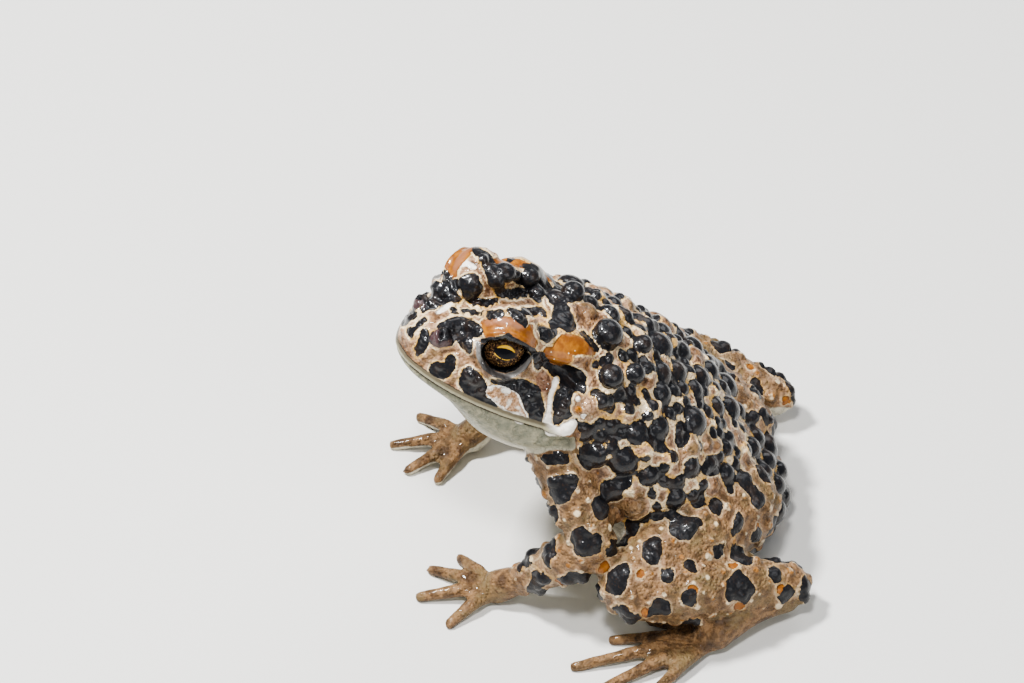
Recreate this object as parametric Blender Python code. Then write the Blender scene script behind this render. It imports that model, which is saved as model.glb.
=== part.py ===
"""A Yosemite toad at life size, sitting up on its forelegs with its head turned a little to its left.

The tables are in millimetres and are turned into metres when a mesh is made. X points to the toad's
left, -Y forward and Z up, and the floor is Z = 0. Every flesh piece is cut clear of the one that it
grows from, so that the two meet face to face with a thin gap.
"""

import functools
import math

import bmesh
import bpy
import numpy as np
from mathutils import Matrix, Vector
from mathutils.geometry import intersect_point_line

MM = 0.001
GAP = 0.3
# Points nearer than this to a cutting plane are moved onto it
CUT_SNAP = 0.01

# Stance: distance behind the eyes along the spine, nose-up pitch, turn to the toad's left
SPINE = (
    (0.0, 18.5, 20.0),
    (5.0, 18.5, 20.0),
    (10.0, 31.0, 15.0),
    (16.0, 44.0, 7.0),
    (23.0, 51.0, 1.0),
    (31.0, 51.0, -2.0),
    (38.0, 44.0, -2.0),
    (46.0, 29.0, 0.0),
    (55.0, 10.0, 0.0),
)
RUMP_HEIGHT = 4.2
HIPS_BACK = 42.0

# Head sections, in the head's own frame whose origin is midway between the eyes:
# forward, level of the lip, half width there, rise to the crown, drop to the throat, squareness above
HEAD_SECTIONS = (
    (11.6, -5.6, 1.8, 2.7, 1.0, 2.0),
    (11.0, -6.0, 3.0, 4.8, 1.4, 2.1),
    (9.9, -6.35, 4.7, 6.35, 1.8, 2.2),
    (8.2, -6.75, 6.6, 7.45, 2.1, 2.2),
    (5.8, -7.15, 8.6, 8.2, 3.0, 2.1),
    (3.0, -7.65, 10.3, 9.15, 5.1, 2.0),
    (0.0, -8.1, 11.7, 10.1, 7.4, 1.9),
    (-4.0, -8.7, 13.0, 10.85, 8.5, 1.75),
    (-7.5, -9.1, 13.8, 11.2, 8.8, 1.7),
)
SNOUT_TIP = (11.85, -5.55)
# How far the line of the spine passes below the eyes
SPINE_BELOW_EYES = 7.2

# Trunk sections: distance behind the eyes along the spine, half width, rise, drop, squareness above
TRUNK_SECTIONS = (
    (12.0, 13.8, 10.0, 11.2, 1.9),
    (17.5, 14.4, 10.2, 11.6, 2.0),
    (24.0, 15.8, 10.8, 11.2, 2.1),
    (31.0, 16.6, 11.0, 11.0, 2.2),
    (38.0, 15.8, 10.2, 10.8, 2.2),
    (45.0, 12.6, 8.2, 9.6, 2.2),
    (50.5, 8.8, 5.8, 7.0, 2.2),
    (53.8, 5.0, 3.4, 4.4, 2.1),
)
SQUARENESS_BELOW = 2.5
SECTION_POINTS = 26
RINGS_PER_SECTION = 3

# Face
EYE_AT = (0.6, 5.7, 0.4)
EYE_RADIUS = 3.4
EYE_TOE_OUT = 76.0
EYE_TILT = 12.0
SOCKET_AT = (0.0, 5.4, -0.6)
SOCKET_RADII = (6.2, 5.2, 4.7)
LID_AT = (0.4, 5.9, 1.7)
LID_RADII = (4.5, 4.2, 4.7)
BROW_AT = (0.4, 7.1, 3.5)
BROW_RADII = (4.0, 2.4, 1.3)
APERTURE_RADII = (3.7, 3.15)
APERTURE_DEPTH = 2.7
NOSTRIL_AT = (8.2, 3.4, -0.4)
NOSTRIL_RADIUS = 0.5
NOSTRIL_RIM = (1.1, 1.1, 1.0)
NOSTRIL_PIT_SHIFT = (0.7, 0.6, 0.2)
EARDRUM_AT = (5.3, 56.0)
EARDRUM_RADII = (1.6, 1.6, 0.5)
PAROTOID_AT = (7.7, 33.0)
PAROTOID_RADII = (5.3, 3.6, 2.4)
PAROTOID_SINK = 0.3
PAROTOID_REACH = 2.5
MOUTH_FRONT = (11.9, -6.0)
MOUTH_CORNER = (-9.5, -9.6)
LIP_OVERHANG = 0.35
NECK_TOP = (-6.0, 3.0)
NECK_BOTTOM = (-12.4, -15.0)

# Limb joints of the left side, with the eyes over Y = 0
SHOULDER = Vector((11.0, 11.0, 25.6))
ELBOW = Vector((19.6, 15.6, 15.0))
WRIST = Vector((15.6, 6.2, 4.6))
PALM = Vector((14.4, 2.6, 1.9))
FINGER_TIPS = ((7.6, -2.0), (9.6, -6.0), (14.6, -7.8), (19.8, -4.0))
FINGER_RADIUS = 1.05
HIP = Vector((7.0, 35.0, 9.0))
KNEE = Vector((22.4, 20.4, 10.0))
HEEL = Vector((18.0, 42.4, 4.4))
TARSUS_END = Vector((25.0, 31.6, 2.5))
TOE_TIPS = ((20.4, 23.4), (23.8, 18.0), (28.6, 12.6), (33.2, 15.6), (35.0, 22.2))
TOE_RADIUS = 1.0
RIGHT_HAND_FORWARD = 2.5
UPPER_ARM_RADII = (4.3, 3.9, 3.0)
FOREARM_RADII = (3.0, 3.4, 2.1)
PALM_RADII = (2.0, 2.4, 1.8)
THIGH_RADII = (7.0, 6.6, 4.6)
SHANK_RADII = (4.3, 4.9, 2.9)
TARSUS_RADII = (2.7, 2.3, 2.6)
# How far the muscles push the middle of a limb part outwards
FOREARM_BULGE = Vector((0.6, 0.4, 0.4))
THIGH_BULGE = Vector((1.0, 0.0, 0.6))
SHANK_BULGE = Vector((0.8, 0.0, 0.4))
SHANK_START = Vector((0.8, 0.6, -0.4))
TARSUS_START = Vector((0.6, -0.6, -1.2))
PALM_LEVEL = 1.4
# Fingers and toes: start level, rise of the knuckle and of the last joint, sizes along them
DIGIT_START = 1.2
DIGIT_RISES = (0.7, 0.3)
DIGIT_TAPER = (1.1, 1.0, 0.85, 0.75)
DIGIT_TIP_LEVEL = 0.55
FINGER_KNUCKLE = 0.5
TOE_KNUCKLE = 0.45
WEB_REACH = 0.55
WEB_VALLEY = 0.86
WEB_LEVELS = (-0.2, 0.75)
# Rounded end of a limb: share of its radius, and how far out, in radii
LIMB_CAPS = ((0.8, 0.55), (0.35, 0.9))

# Warts behind the head: distance behind the eyes, degrees down from the midline (plus to the left)
# and radius
BIG_WARTS = (
    (4.6, -33, 1.3),
    (8.5, -26, 1.4),
    (8.0, -13, 1.3),
    (9.9, -5, 1.3),
    (9.9, 8, 1.3),
    (7.4, 15, 1.1),
    (4.2, 25, 1.0),
    (11.2, -17, 1.8),
    (14.5, -24, 1.6),
    (16.6, -15, 1.5),
    (14.0, 0, 1.5),
    (13.3, 14, 1.8),
    (19.0, 5, 1.7),
    (18.9, -6, 1.5),
    (14.6, 41, 1.9),
    (17.2, 29, 1.7),
    (19.8, 18, 1.6),
    (14.0, 58, 1.3),
    (18.0, 52, 1.6),
    (21.5, 38, 1.7),
)
# Small warts behind the corner of the mouth, on both sides
CORNER_WARTS = ((9.5, 62, 0.75), (10.0, 69, 0.75), (11.4, 65, 0.85), (11.2, 73, 0.65))
WART_SEED = 41
WART_COUNT = 40
WART_TRIES = 4000
WART_RADII = (0.85, 1.75)
WART_SINK = 0.15
WART_HEIGHT = 0.85
WART_SPACING = 1.25
WART_ZONE = ((9.0, 50.0), (-88.0, 88.0))
WART_LOWEST = 5.0
LIMB_CLEARANCE = 1.0
LIMB_WARTS = {"upper_arm": 5, "forearm": 6, "thigh": 8, "shank": 9}
LIMB_WART_RADII = (0.7, 1.15)
LIMB_WART_ZONE = (0.15, 0.85)
LIMB_WART_SPACING = 2.6
LIMB_WART_SINK = 0.25
FLOOR_SLAB = ((-80.0, -80.0, -20.0), (80.0, 80.0, 0.0))

COLOURS = {
    "skin": (0.46, 0.34, 0.25),
    "belly": (0.62, 0.58, 0.50),
    "eye": (0.10, 0.06, 0.02),
}


def clear_scene():
    for obj in list(bpy.data.objects):
        bpy.data.objects.remove(obj)


def material(name, colour, roughness):
    made = bpy.data.materials.new(name)
    made.use_nodes = True
    shader = made.node_tree.nodes["Principled BSDF"]
    shader.inputs["Base Color"].default_value = (*colour, 1.0)
    shader.inputs["Roughness"].default_value = roughness
    return made


def stance_at(back):
    """Pitch and turn of the spine, this far behind the eyes."""
    places, pitches, turns = zip(*SPINE)
    return float(np.interp(back, places, pitches)), float(np.interp(back, places, turns))


def spine_point(back):
    """Where the spine runs, this far behind the eyes. The eyes are at Y = 0 and the hips at X = 0."""
    rump, hips = walk(0.0, SPINE[-1][0]), walk(0.0, HIPS_BACK)
    return walk(0.0, back) + Vector((-hips.x, 0, RUMP_HEIGHT - rump.z))


def walk(start, end, step=0.5):
    """Way along the spine between two distances behind the eyes."""
    way = Vector((0, 0, 0))
    count = max(int(round(abs(end - start) / step)), 1)
    for n in range(count):
        pitch, turn = stance_at(start + (end - start) * (n + 0.5) / count)
        forward, _, _ = axes_at(turn, pitch)
        way -= forward * (end - start) / count
    return way


def axes_at(turn, pitch):
    """Unit vectors forward, left and up of a part of the spine."""
    a, p = math.radians(turn), math.radians(pitch)
    level = Vector((math.sin(a), -math.cos(a), 0.0))
    forward = level * math.cos(p) + Vector((0, 0, math.sin(p)))
    left = Vector((math.cos(a), math.sin(a), 0.0))
    return forward, left, forward.cross(left)


def head_axes():
    pitch, turn = stance_at(0.0)
    return axes_at(turn, pitch)


def head_point(forward, left, up):
    """A point of the head's own frame, in the frame that all the pieces share."""
    f, l, u = head_axes()
    return spine_point(0.0) + f * forward + l * left + u * (up + SPINE_BELOW_EYES)


def head_matrix(at):
    """Places a shape made along X forward, Y left and Z up at a point of the head."""
    turn = Matrix(head_axes()).transposed().to_4x4()
    return Matrix.Translation(head_point(*at)) @ turn


@functools.cache
def sections():
    """Origin, left, up, half width, rise, drop and squareness of every section, snout to rump."""
    rows = []
    _, left, up = head_axes()
    for forward, level, *sizes in HEAD_SECTIONS:
        rows.append((head_point(forward, 0, level), left, up, *sizes))
    for back, *sizes in TRUNK_SECTIONS:
        pitch, turn = stance_at(back)
        _, left, up = axes_at(turn, pitch)
        rows.append((spine_point(back), left, up, *sizes))
    return rows


def between(rows, t):
    """Catmull-Rom value of the rows at t, where a whole number is a row."""
    i = min(int(t), len(rows) - 2)
    q = t - i
    around = [rows[min(max(i + k, 0), len(rows) - 1)] for k in (-1, 0, 1, 2)]
    weights = (
        (-q + 2 * q * q - q**3) / 2,
        (2 - 5 * q * q + 3 * q**3) / 2,
        (q + 4 * q * q - 3 * q**3) / 2,
        (q**3 - q * q) / 2,
    )
    return [sum((row[k] * w for row, w in zip(around[1:], weights[1:])), around[0][k] * weights[0])
            for k in range(len(rows[0]))]


def section_point(section, angle, grow=0.0):
    """Point of a section at an angle from its left, going up."""
    origin, left, up, width, rise, drop, square = section
    c, s = math.cos(angle), math.sin(angle)
    power = 2 / (square if s > 0 else SQUARENESS_BELOW)
    side = math.copysign(abs(c) ** power, c) * (width + grow)
    height = math.copysign(abs(s) ** power, s) * ((rise if s > 0 else drop) + grow)
    return origin + left.normalized() * side + up.normalized() * height


def back_point(back, degrees):
    """Point and outward direction on the back, from the midline down towards the left."""
    rows = sections()
    places = [-row[0] for row in HEAD_SECTIONS] + [row[0] for row in TRUNK_SECTIONS]
    t = float(np.interp(back, places, range(len(places))))
    angle = math.radians(90 - degrees)
    section = between(rows, t)
    here = section_point(section, angle)
    ahead = section_point(between(rows, max(t - 0.1, 0)), angle)
    beside = section_point(section, angle + 0.05)
    return here, (beside - here).cross(ahead - here).normalized()


def finish_mesh(bm, name):
    bmesh.ops.recalc_face_normals(bm, faces=bm.faces)
    mesh = bpy.data.meshes.new(name)
    bm.to_mesh(mesh)
    bm.free()
    obj = bpy.data.objects.new(name, mesh)
    bpy.context.scene.collection.objects.link(obj)
    return obj


def loft(name, rings, ends):
    """Closed skin over rings of points, with a pole at each end."""
    bm = bmesh.new()
    loops = [[bm.verts.new(p * MM) for p in ring] for ring in rings]
    for first, second in zip(loops, loops[1:]):
        for k in range(len(first)):
            n = (k + 1) % len(first)
            bm.faces.new((first[k], first[n], second[n], second[k]))
    for loop, end in ((loops[0], ends[0]), (loops[-1], ends[1])):
        pole = bm.verts.new(end * MM)
        for k in range(len(loop)):
            bm.faces.new((loop[k], loop[(k + 1) % len(loop)], pole))
    return finish_mesh(bm, name)


def body_form(name, grow=0.0):
    """Head and trunk as one closed form, swollen by grow."""
    rows = sections()
    rings = []
    for n in range((len(rows) - 1) * RINGS_PER_SECTION + 1):
        section = between(rows, n / RINGS_PER_SECTION)
        angles = (2 * math.pi * k / SECTION_POINTS for k in range(SECTION_POINTS))
        rings.append([section_point(section, a, grow) for a in angles])
    snout = head_point(SNOUT_TIP[0] + grow, 0, SNOUT_TIP[1])
    return loft(name, rings, (snout, spine_point(SPINE[-1][0] + grow)))


def ball(name, matrix, radii, segments=16, rings=10):
    bm = bmesh.new()
    bmesh.ops.create_uvsphere(bm, u_segments=segments, v_segments=rings, radius=1.0)
    size = Matrix.Diagonal((*(r * MM for r in radii), 1.0))
    place = matrix.copy()
    place.translation = matrix.translation * MM
    bmesh.ops.transform(bm, matrix=place @ size, verts=bm.verts)
    return finish_mesh(bm, name)


def dome(name, at, out, radius):
    """Low round wart, its lower half sunk in the surface that it stands on."""
    turn = out.to_track_quat("Z", "Y").to_matrix().to_4x4()
    place = Matrix.Translation(at - out * radius * WART_SINK) @ turn
    facets = (10, 6) if radius > 1.3 else (8, 4)
    return ball(name, place, (radius, radius, radius * WART_HEIGHT), *facets)


def tube(name, points, radii, grow=0.0, resolution=3, steps=4):
    """Round limb through points, with a radius at each, rounded at both ends."""
    rows = [(Vector(p), r) for p, r in zip(points, radii)]
    count = (len(rows) - 1) * steps
    path = [between(rows, n / steps) for n in range(count + 1)]
    spline_points = [(p, r + grow) for p, r in path]
    for end, inner in ((0, 1), (-1, -2)):
        point, radius = spline_points[end]
        out = (point - spline_points[inner][0]).normalized()
        for share, reach in LIMB_CAPS:
            cap = (point + out * radius * reach, radius * share)
            spline_points.insert(0 if end == 0 else len(spline_points), cap)
    curve = bpy.data.curves.new(name, "CURVE")
    curve.dimensions = "3D"
    curve.bevel_depth = MM
    curve.bevel_resolution = resolution
    curve.use_fill_caps = True
    spline = curve.splines.new("POLY")
    spline.points.add(len(spline_points) - 1)
    for target, (point, radius) in zip(spline.points, spline_points):
        target.co = (*(point * MM), 1.0)
        target.radius = radius
    guide = bpy.data.objects.new(name, curve)
    bpy.context.scene.collection.objects.link(guide)
    graph = bpy.context.evaluated_depsgraph_get()
    mesh = bpy.data.meshes.new_from_object(guide.evaluated_get(graph))
    bpy.data.objects.remove(guide)
    bm = bmesh.new()
    bm.from_mesh(mesh)
    bmesh.ops.remove_doubles(bm, verts=bm.verts, dist=1e-6)
    return finish_mesh(bm, name)


def box(name, low, high):
    bm = bmesh.new()
    low, high = Vector(low), Vector(high)
    bmesh.ops.create_cube(bm, size=1.0)
    place = Matrix.Translation((low + high) / 2 * MM) @ Matrix.Diagonal((*((high - low) * MM), 1.0))
    bmesh.ops.transform(bm, matrix=place, verts=bm.verts)
    return finish_mesh(bm, name)


def boolean(obj, others, operation, solver="EXACT"):
    """Applies one Boolean of the other objects, which are then removed."""
    helpers = bpy.data.collections.new("helpers")
    bpy.context.scene.collection.children.link(helpers)
    for other in others:
        helpers.objects.link(other)
    change = obj.modifiers.new("change", "BOOLEAN")
    change.operation = operation
    change.solver = solver
    change.operand_type = "COLLECTION"
    change.collection = helpers
    graph = bpy.context.evaluated_depsgraph_get()
    mesh = bpy.data.meshes.new_from_object(obj.evaluated_get(graph))
    obj.modifiers.clear()
    obj.data = mesh
    for other in others:
        bpy.data.objects.remove(other)
    bpy.data.collections.remove(helpers)
    return obj


def cut_plane(obj, at, keep_side):
    """Cuts the object by a plane, keeps the side that the direction points to, and caps it."""
    bm = bmesh.new()
    bm.from_mesh(obj.data)
    everything = bm.verts[:] + bm.edges[:] + bm.faces[:]
    bmesh.ops.bisect_plane(bm, geom=everything, plane_co=at * MM, plane_no=keep_side,
                           clear_inner=True, dist=CUT_SNAP * MM)
    bmesh.ops.remove_doubles(bm, verts=bm.verts, dist=CUT_SNAP * MM)
    rim = [edge for edge in bm.edges if edge.is_boundary]
    bmesh.ops.contextual_create(bm, geom=rim)
    bmesh.ops.triangulate(bm, faces=[face for face in bm.faces if len(face.verts) > 4])
    bmesh.ops.recalc_face_normals(bm, faces=bm.faces)
    bm.to_mesh(obj.data)
    bm.free()
    return obj


def keep_largest(obj):
    """Drops loose scraps and filled hollows that a Boolean leaves."""
    bm = bmesh.new()
    bm.from_mesh(obj.data)
    bmesh.ops.remove_doubles(bm, verts=bm.verts, dist=2e-6)
    left, groups = set(bm.verts), []
    while left:
        group, todo = set(), [left.pop()]
        while todo:
            vert = todo.pop()
            group.add(vert)
            near = {edge.other_vert(vert) for edge in vert.link_edges} & left
            left -= near
            todo.extend(near)
        groups.append(group)
    groups.sort(key=len)
    for group in groups[:-1]:
        bmesh.ops.delete(bm, geom=list(group), context="VERTS")
    bmesh.ops.triangulate(bm, faces=bm.faces)
    bm.to_mesh(obj.data)
    bm.free()
    return obj


def below_floor():
    return box("below_floor", *FLOOR_SLAB)


def finish(obj, look):
    keep_largest(obj)
    obj.data.materials.clear()
    obj.data.materials.append(look)
    obj.data.shade_smooth()
    obj.data.set_sharp_from_angle(angle=math.radians(50))
    return obj


def plane_through(top, bottom):
    """A point and the forward normal of a plane across the head, given by two points of its side view."""
    upper = head_point(top[0], 0, top[1])
    lower = head_point(bottom[0], 0, bottom[1])
    forward, left, _ = head_axes()
    normal = left.cross(upper - lower).normalized()
    return upper, normal if normal.dot(forward) > 0 else normal * -1


def mouth_plane():
    front = head_point(MOUTH_FRONT[0], 0, MOUTH_FRONT[1])
    corner = head_point(MOUTH_CORNER[0], 0, MOUTH_CORNER[1])
    _, left, up = head_axes()
    normal = left.cross(front - corner).normalized()
    return front, normal if normal.dot(up) > 0 else normal * -1


def eye_matrix(side):
    """The eyeball's place, with Z along the line of sight."""
    forward, left, up = head_axes()
    out, tilt = math.radians(EYE_TOE_OUT), math.radians(EYE_TILT)
    sight = (forward * math.cos(out) + left * side * math.sin(out)) * math.cos(tilt)
    sight = sight + up * math.sin(tilt)
    across = (forward - sight * forward.dot(sight)).normalized()
    turn = Matrix((across, sight.cross(across), sight)).transposed().to_4x4()
    at = head_point(EYE_AT[0], side * EYE_AT[1], EYE_AT[2])
    return Matrix.Translation(at) @ turn


def eyeball(side, grow=0.0):
    name = "eye_left" if side > 0 else "eye_right"
    return ball(name, eye_matrix(side), [EYE_RADIUS + grow] * 3, 16, 10)


def aperture(side):
    """Opening between the lids, as a long lens along the line of sight."""
    matrix = eye_matrix(side) @ Matrix.Translation((0, 0, EYE_RADIUS))
    return ball("aperture", matrix, (*APERTURE_RADII, APERTURE_DEPTH), 16, 8)


def socket(side):
    """Raised skin round the eye, which runs out into the crown and the cheek."""
    at = (SOCKET_AT[0], side * SOCKET_AT[1], SOCKET_AT[2])
    return ball("socket", head_matrix(at), SOCKET_RADII, 18, 10)


def lid(side):
    """Skin over the eyeball, above and below it."""
    at = (LID_AT[0], side * LID_AT[1], LID_AT[2])
    return ball("lid", head_matrix(at), LID_RADII, 18, 10)


def brow(side):
    """Thick edge of the upper lid, which overhangs the eye."""
    at = (BROW_AT[0], side * BROW_AT[1], BROW_AT[2])
    return ball("brow", head_matrix(at), BROW_RADII, 14, 8)


def nostril(side):
    """Low rim that the nostril opens in."""
    at = (NOSTRIL_AT[0], side * NOSTRIL_AT[1], NOSTRIL_AT[2])
    return ball("nostril", head_matrix(at), NOSTRIL_RIM, 10, 6)


def nostril_pit(side):
    forward, out, up = (a + b for a, b in zip(NOSTRIL_AT, NOSTRIL_PIT_SHIFT))
    return ball("nostril_pit", head_matrix((forward, side * out, up)), [NOSTRIL_RADIUS] * 3, 8, 6)


def eardrum(side):
    at, out = back_point(EARDRUM_AT[0], side * EARDRUM_AT[1])
    place = Matrix.Translation(at) @ out.to_track_quat("Z", "Y").to_matrix().to_4x4()
    return ball("eardrum", place, EARDRUM_RADII, 14, 4)


def parotoid(side):
    """Flat oval gland behind the eyelid, lying along the neck."""
    back, degrees = PAROTOID_AT[0], side * PAROTOID_AT[1]
    at, out = back_point(back, degrees)
    along = back_point(back - 1, degrees)[0] - at
    along = (along - out * along.dot(out)).normalized()
    turn = Matrix((along, out.cross(along), out)).transposed().to_4x4()
    place = Matrix.Translation(at - out * PAROTOID_SINK) @ turn
    return ball("parotoid", place, PAROTOID_RADII, 16, 8)


def limb_lines(side):
    """Centre line and greatest radius of each long limb part."""
    forward = 0.0 if side > 0 else RIGHT_HAND_FORWARD
    lines = {
        "upper_arm": (SHOULDER, ELBOW, UPPER_ARM_RADII, forward / 2),
        "forearm": (ELBOW, WRIST, FOREARM_RADII, forward),
        "thigh": (HIP, KNEE, THIGH_RADII, 0),
        "shank": (KNEE, HEEL, SHANK_RADII, 0),
        "foot": (HEEL, TARSUS_END, TARSUS_RADII, 0),
    }
    return {name: (on_side(a, side), on_side(b, side, forward), max(radii))
            for name, (a, b, radii, forward) in lines.items()}


def clear_of_limbs(at, radius, besides=()):
    """Whether a wart of that radius touches no limb, besides the one that it grows on."""
    for side in (1, -1):
        for name, (start, end, thick) in limb_lines(side).items():
            if name in besides:
                continue
            near, share = intersect_point_line(at, start, end)
            near = start.lerp(end, min(max(share, 0), 1))
            if (at - near).length < thick + radius + LIMB_CLEARANCE:
                return False
    return True


def limb_warts(name, side, count, radii, seed):
    """Small seeded warts on the upper and outer side of a limb part."""
    start, end, _ = limb_lines(side)[name]
    draw = np.random.default_rng(seed)
    along = (end - start).normalized()
    made, places = [], []
    for _ in range(WART_TRIES):
        if len(made) == count:
            break
        share = draw.uniform(*LIMB_WART_ZONE)
        angle = draw.uniform(0, 2 * math.pi)
        across = along.orthogonal().normalized()
        out = across * math.cos(angle) + along.cross(across) * math.sin(angle)
        radius = draw.uniform(*LIMB_WART_RADII)
        at = start.lerp(end, share) + out * np.interp(share, (0, 0.5, 1), radii)
        outward = out.x * side > 0.2 and out.z > -0.25
        apart = all((at - other).length > LIMB_WART_SPACING for other in places)
        if outward and apart and clear_of_limbs(at, radius, (name,)):
            places.append(at)
            made.append(dome(f"{name}_wart_{len(made)}", at - out * LIMB_WART_SINK, out, radius))
    return made


def wart_places():
    """Placed warts of the fore back, then seeded ones that keep clear of them and of the glands."""
    placed = list(BIG_WARTS)
    placed += [(back, side * degrees, radius) for back, degrees, radius in CORNER_WARTS for side in (1, -1)]
    places = [(*back_point(back, degrees), radius) for back, degrees, radius in placed]
    glands = [back_point(PAROTOID_AT[0] + shift, side * PAROTOID_AT[1])[0]
              for side in (1, -1) for shift in (-PAROTOID_REACH, 0, PAROTOID_REACH)]
    draw = np.random.default_rng(WART_SEED)
    (first, last), (low, high) = WART_ZONE
    for _ in range(WART_TRIES):
        if len(places) == len(placed) + WART_COUNT:
            break
        radius = draw.uniform(*WART_RADII)
        at, out = back_point(draw.uniform(first, last), draw.uniform(low, high))
        clear = all((at - other).length > (radius + size) * WART_SPACING for other, _, size in places)
        clear = clear and all((at - gland).length > radius + PAROTOID_RADII[1] for gland in glands)
        if clear and at.z > WART_LOWEST and clear_of_limbs(at, radius):
            places.append((at, out, radius))
    return places


def make_whole_skin():
    """Head and trunk in one, with lids, eardrums, glands and warts."""
    skin = body_form("skin")
    features = (socket, lid, brow, nostril, eardrum, parotoid)
    growths = [make(side) for side in (1, -1) for make in features]
    growths += [dome(f"wart_{n}", *place) for n, place in enumerate(wart_places())]
    return keep_largest(boolean(skin, growths, "UNION"))


def copy_of(obj, name):
    mesh = obj.data.copy()
    made = bpy.data.objects.new(name, mesh)
    bpy.context.scene.collection.objects.link(made)
    return made


def make_head(whole, look):
    """Head above the line of the mouth, opened for the eyes and nostrils."""
    head = copy_of(whole, "head")
    neck_at, neck_out = plane_through(NECK_TOP, NECK_BOTTOM)
    cut_plane(head, neck_at + neck_out * GAP / 2, neck_out)
    mouth_at, mouth_up = mouth_plane()
    cut_plane(head, mouth_at + mouth_up * GAP / 2, mouth_up)
    cuts = []
    for side in (1, -1):
        cuts += [eyeball(side, GAP), aperture(side), nostril_pit(side)]
    boolean(head, cuts, "DIFFERENCE")
    return finish(head, look)


def make_lower_jaw(look):
    """Lower jaw and throat, set in a little under the upper lip."""
    jaw = body_form("lower_jaw", -LIP_OVERHANG)
    neck_at, neck_out = plane_through(NECK_TOP, NECK_BOTTOM)
    cut_plane(jaw, neck_at + neck_out * GAP / 2, neck_out)
    mouth_at, mouth_up = mouth_plane()
    cut_plane(jaw, mouth_at - mouth_up * GAP / 2, mouth_up * -1)
    return finish(jaw, look)


def make_torso(whole, look):
    """Trunk with its glands and warts, flat where it sits."""
    torso = copy_of(whole, "torso")
    neck_at, neck_out = plane_through(NECK_TOP, NECK_BOTTOM)
    cut_plane(torso, neck_at - neck_out * GAP / 2, neck_out * -1)
    boolean(torso, [below_floor()], "DIFFERENCE")
    return finish(torso, look)


def on_side(point, side, forward=0.0):
    """The point on that side of the body, moved forward by so much."""
    return Vector((point[0] * side, point[1] - forward, point[2]))


def upper_arm(name, side, forward, grow=0.0):
    middle = SHOULDER.lerp(ELBOW, 0.55)
    points = [on_side(p, side, f) for p, f in ((SHOULDER, 0), (middle, 0), (ELBOW, forward / 2))]
    return tube(name, points, UPPER_ARM_RADII, grow)


def forearm(name, side, forward, grow=0.0):
    middle = ELBOW.lerp(WRIST, 0.4) + FOREARM_BULGE
    points = [on_side(p, side, f) for p, f in ((ELBOW, forward / 2), (middle, forward), (WRIST, forward))]
    return tube(name, points, FOREARM_RADII, grow)


def palm(name, side, forward, grow=0.0):
    reach = PALM + (PALM - WRIST) * 0.2
    points = [on_side(p, side, forward) for p in (WRIST, PALM, Vector((reach.x, reach.y, PALM_LEVEL)))]
    return tube(name, points, PALM_RADII, grow)


def digits(side, forward, root, tips, radius, knuckle):
    """Fingers or toes that run from the root over the floor to their tips."""
    made = []
    start = Vector((root.x, root.y, DIGIT_START))
    knuckle_rise, joint_rise = (Vector((0, 0, rise)) for rise in DIGIT_RISES)
    for n, (x, y) in enumerate(tips):
        tip = Vector((x, y, radius * DIGIT_TIP_LEVEL))
        middle = start.lerp(tip, knuckle) + knuckle_rise
        late = start.lerp(tip, (1 + knuckle) / 2) + joint_rise
        points = [on_side(p, side, forward) for p in (start, middle, late, tip)]
        radii = [radius * share for share in DIGIT_TAPER]
        made.append(tube(f"digit_{n}", points, radii, resolution=2, steps=1))
    return made


def web(side, root, tips):
    """Thin sheet between neighbouring toes, as a fan over the floor."""
    bm = bmesh.new()
    heel = Vector((root.x, root.y, 0))
    rim = [heel.lerp(Vector((x, y, 0)), WEB_REACH) for x, y in tips]
    valleys = [heel.lerp((a + b) / 2, WEB_VALLEY) for a, b in zip(rim, rim[1:])]
    edge = [p for pair in zip(rim, valleys) for p in pair] + [rim[-1]]
    outline = [heel] + edge
    bottom, top = (Vector((0, 0, level)) for level in WEB_LEVELS)
    low = [bm.verts.new(on_side(p + bottom, side) * MM) for p in outline]
    top = [bm.verts.new(on_side(p + top, side) * MM) for p in outline]
    for n in range(1, len(outline) - 1):
        bm.faces.new((low[0], low[n], low[n + 1]))
        bm.faces.new((top[0], top[n + 1], top[n]))
    for n in range(len(outline)):
        after = (n + 1) % len(outline)
        bm.faces.new((low[n], low[after], top[after], top[n]))
    return finish_mesh(bm, "web")


def thigh(name, side, grow=0.0):
    middle = HIP.lerp(KNEE, 0.55) + THIGH_BULGE
    points = [on_side(p, side) for p in (HIP, middle, KNEE)]
    return tube(name, points, THIGH_RADII, grow)


def shank(name, side, grow=0.0):
    middle = KNEE.lerp(HEEL, 0.42) + SHANK_BULGE
    points = [on_side(p, side) for p in (KNEE + SHANK_START, middle, HEEL)]
    return tube(name, points, SHANK_RADII, grow)


def tarsus(name, side, grow=0.0):
    points = [on_side(p, side) for p in (HEEL + TARSUS_START, HEEL.lerp(TARSUS_END, 0.5), TARSUS_END)]
    return tube(name, points, TARSUS_RADII, grow)


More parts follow.
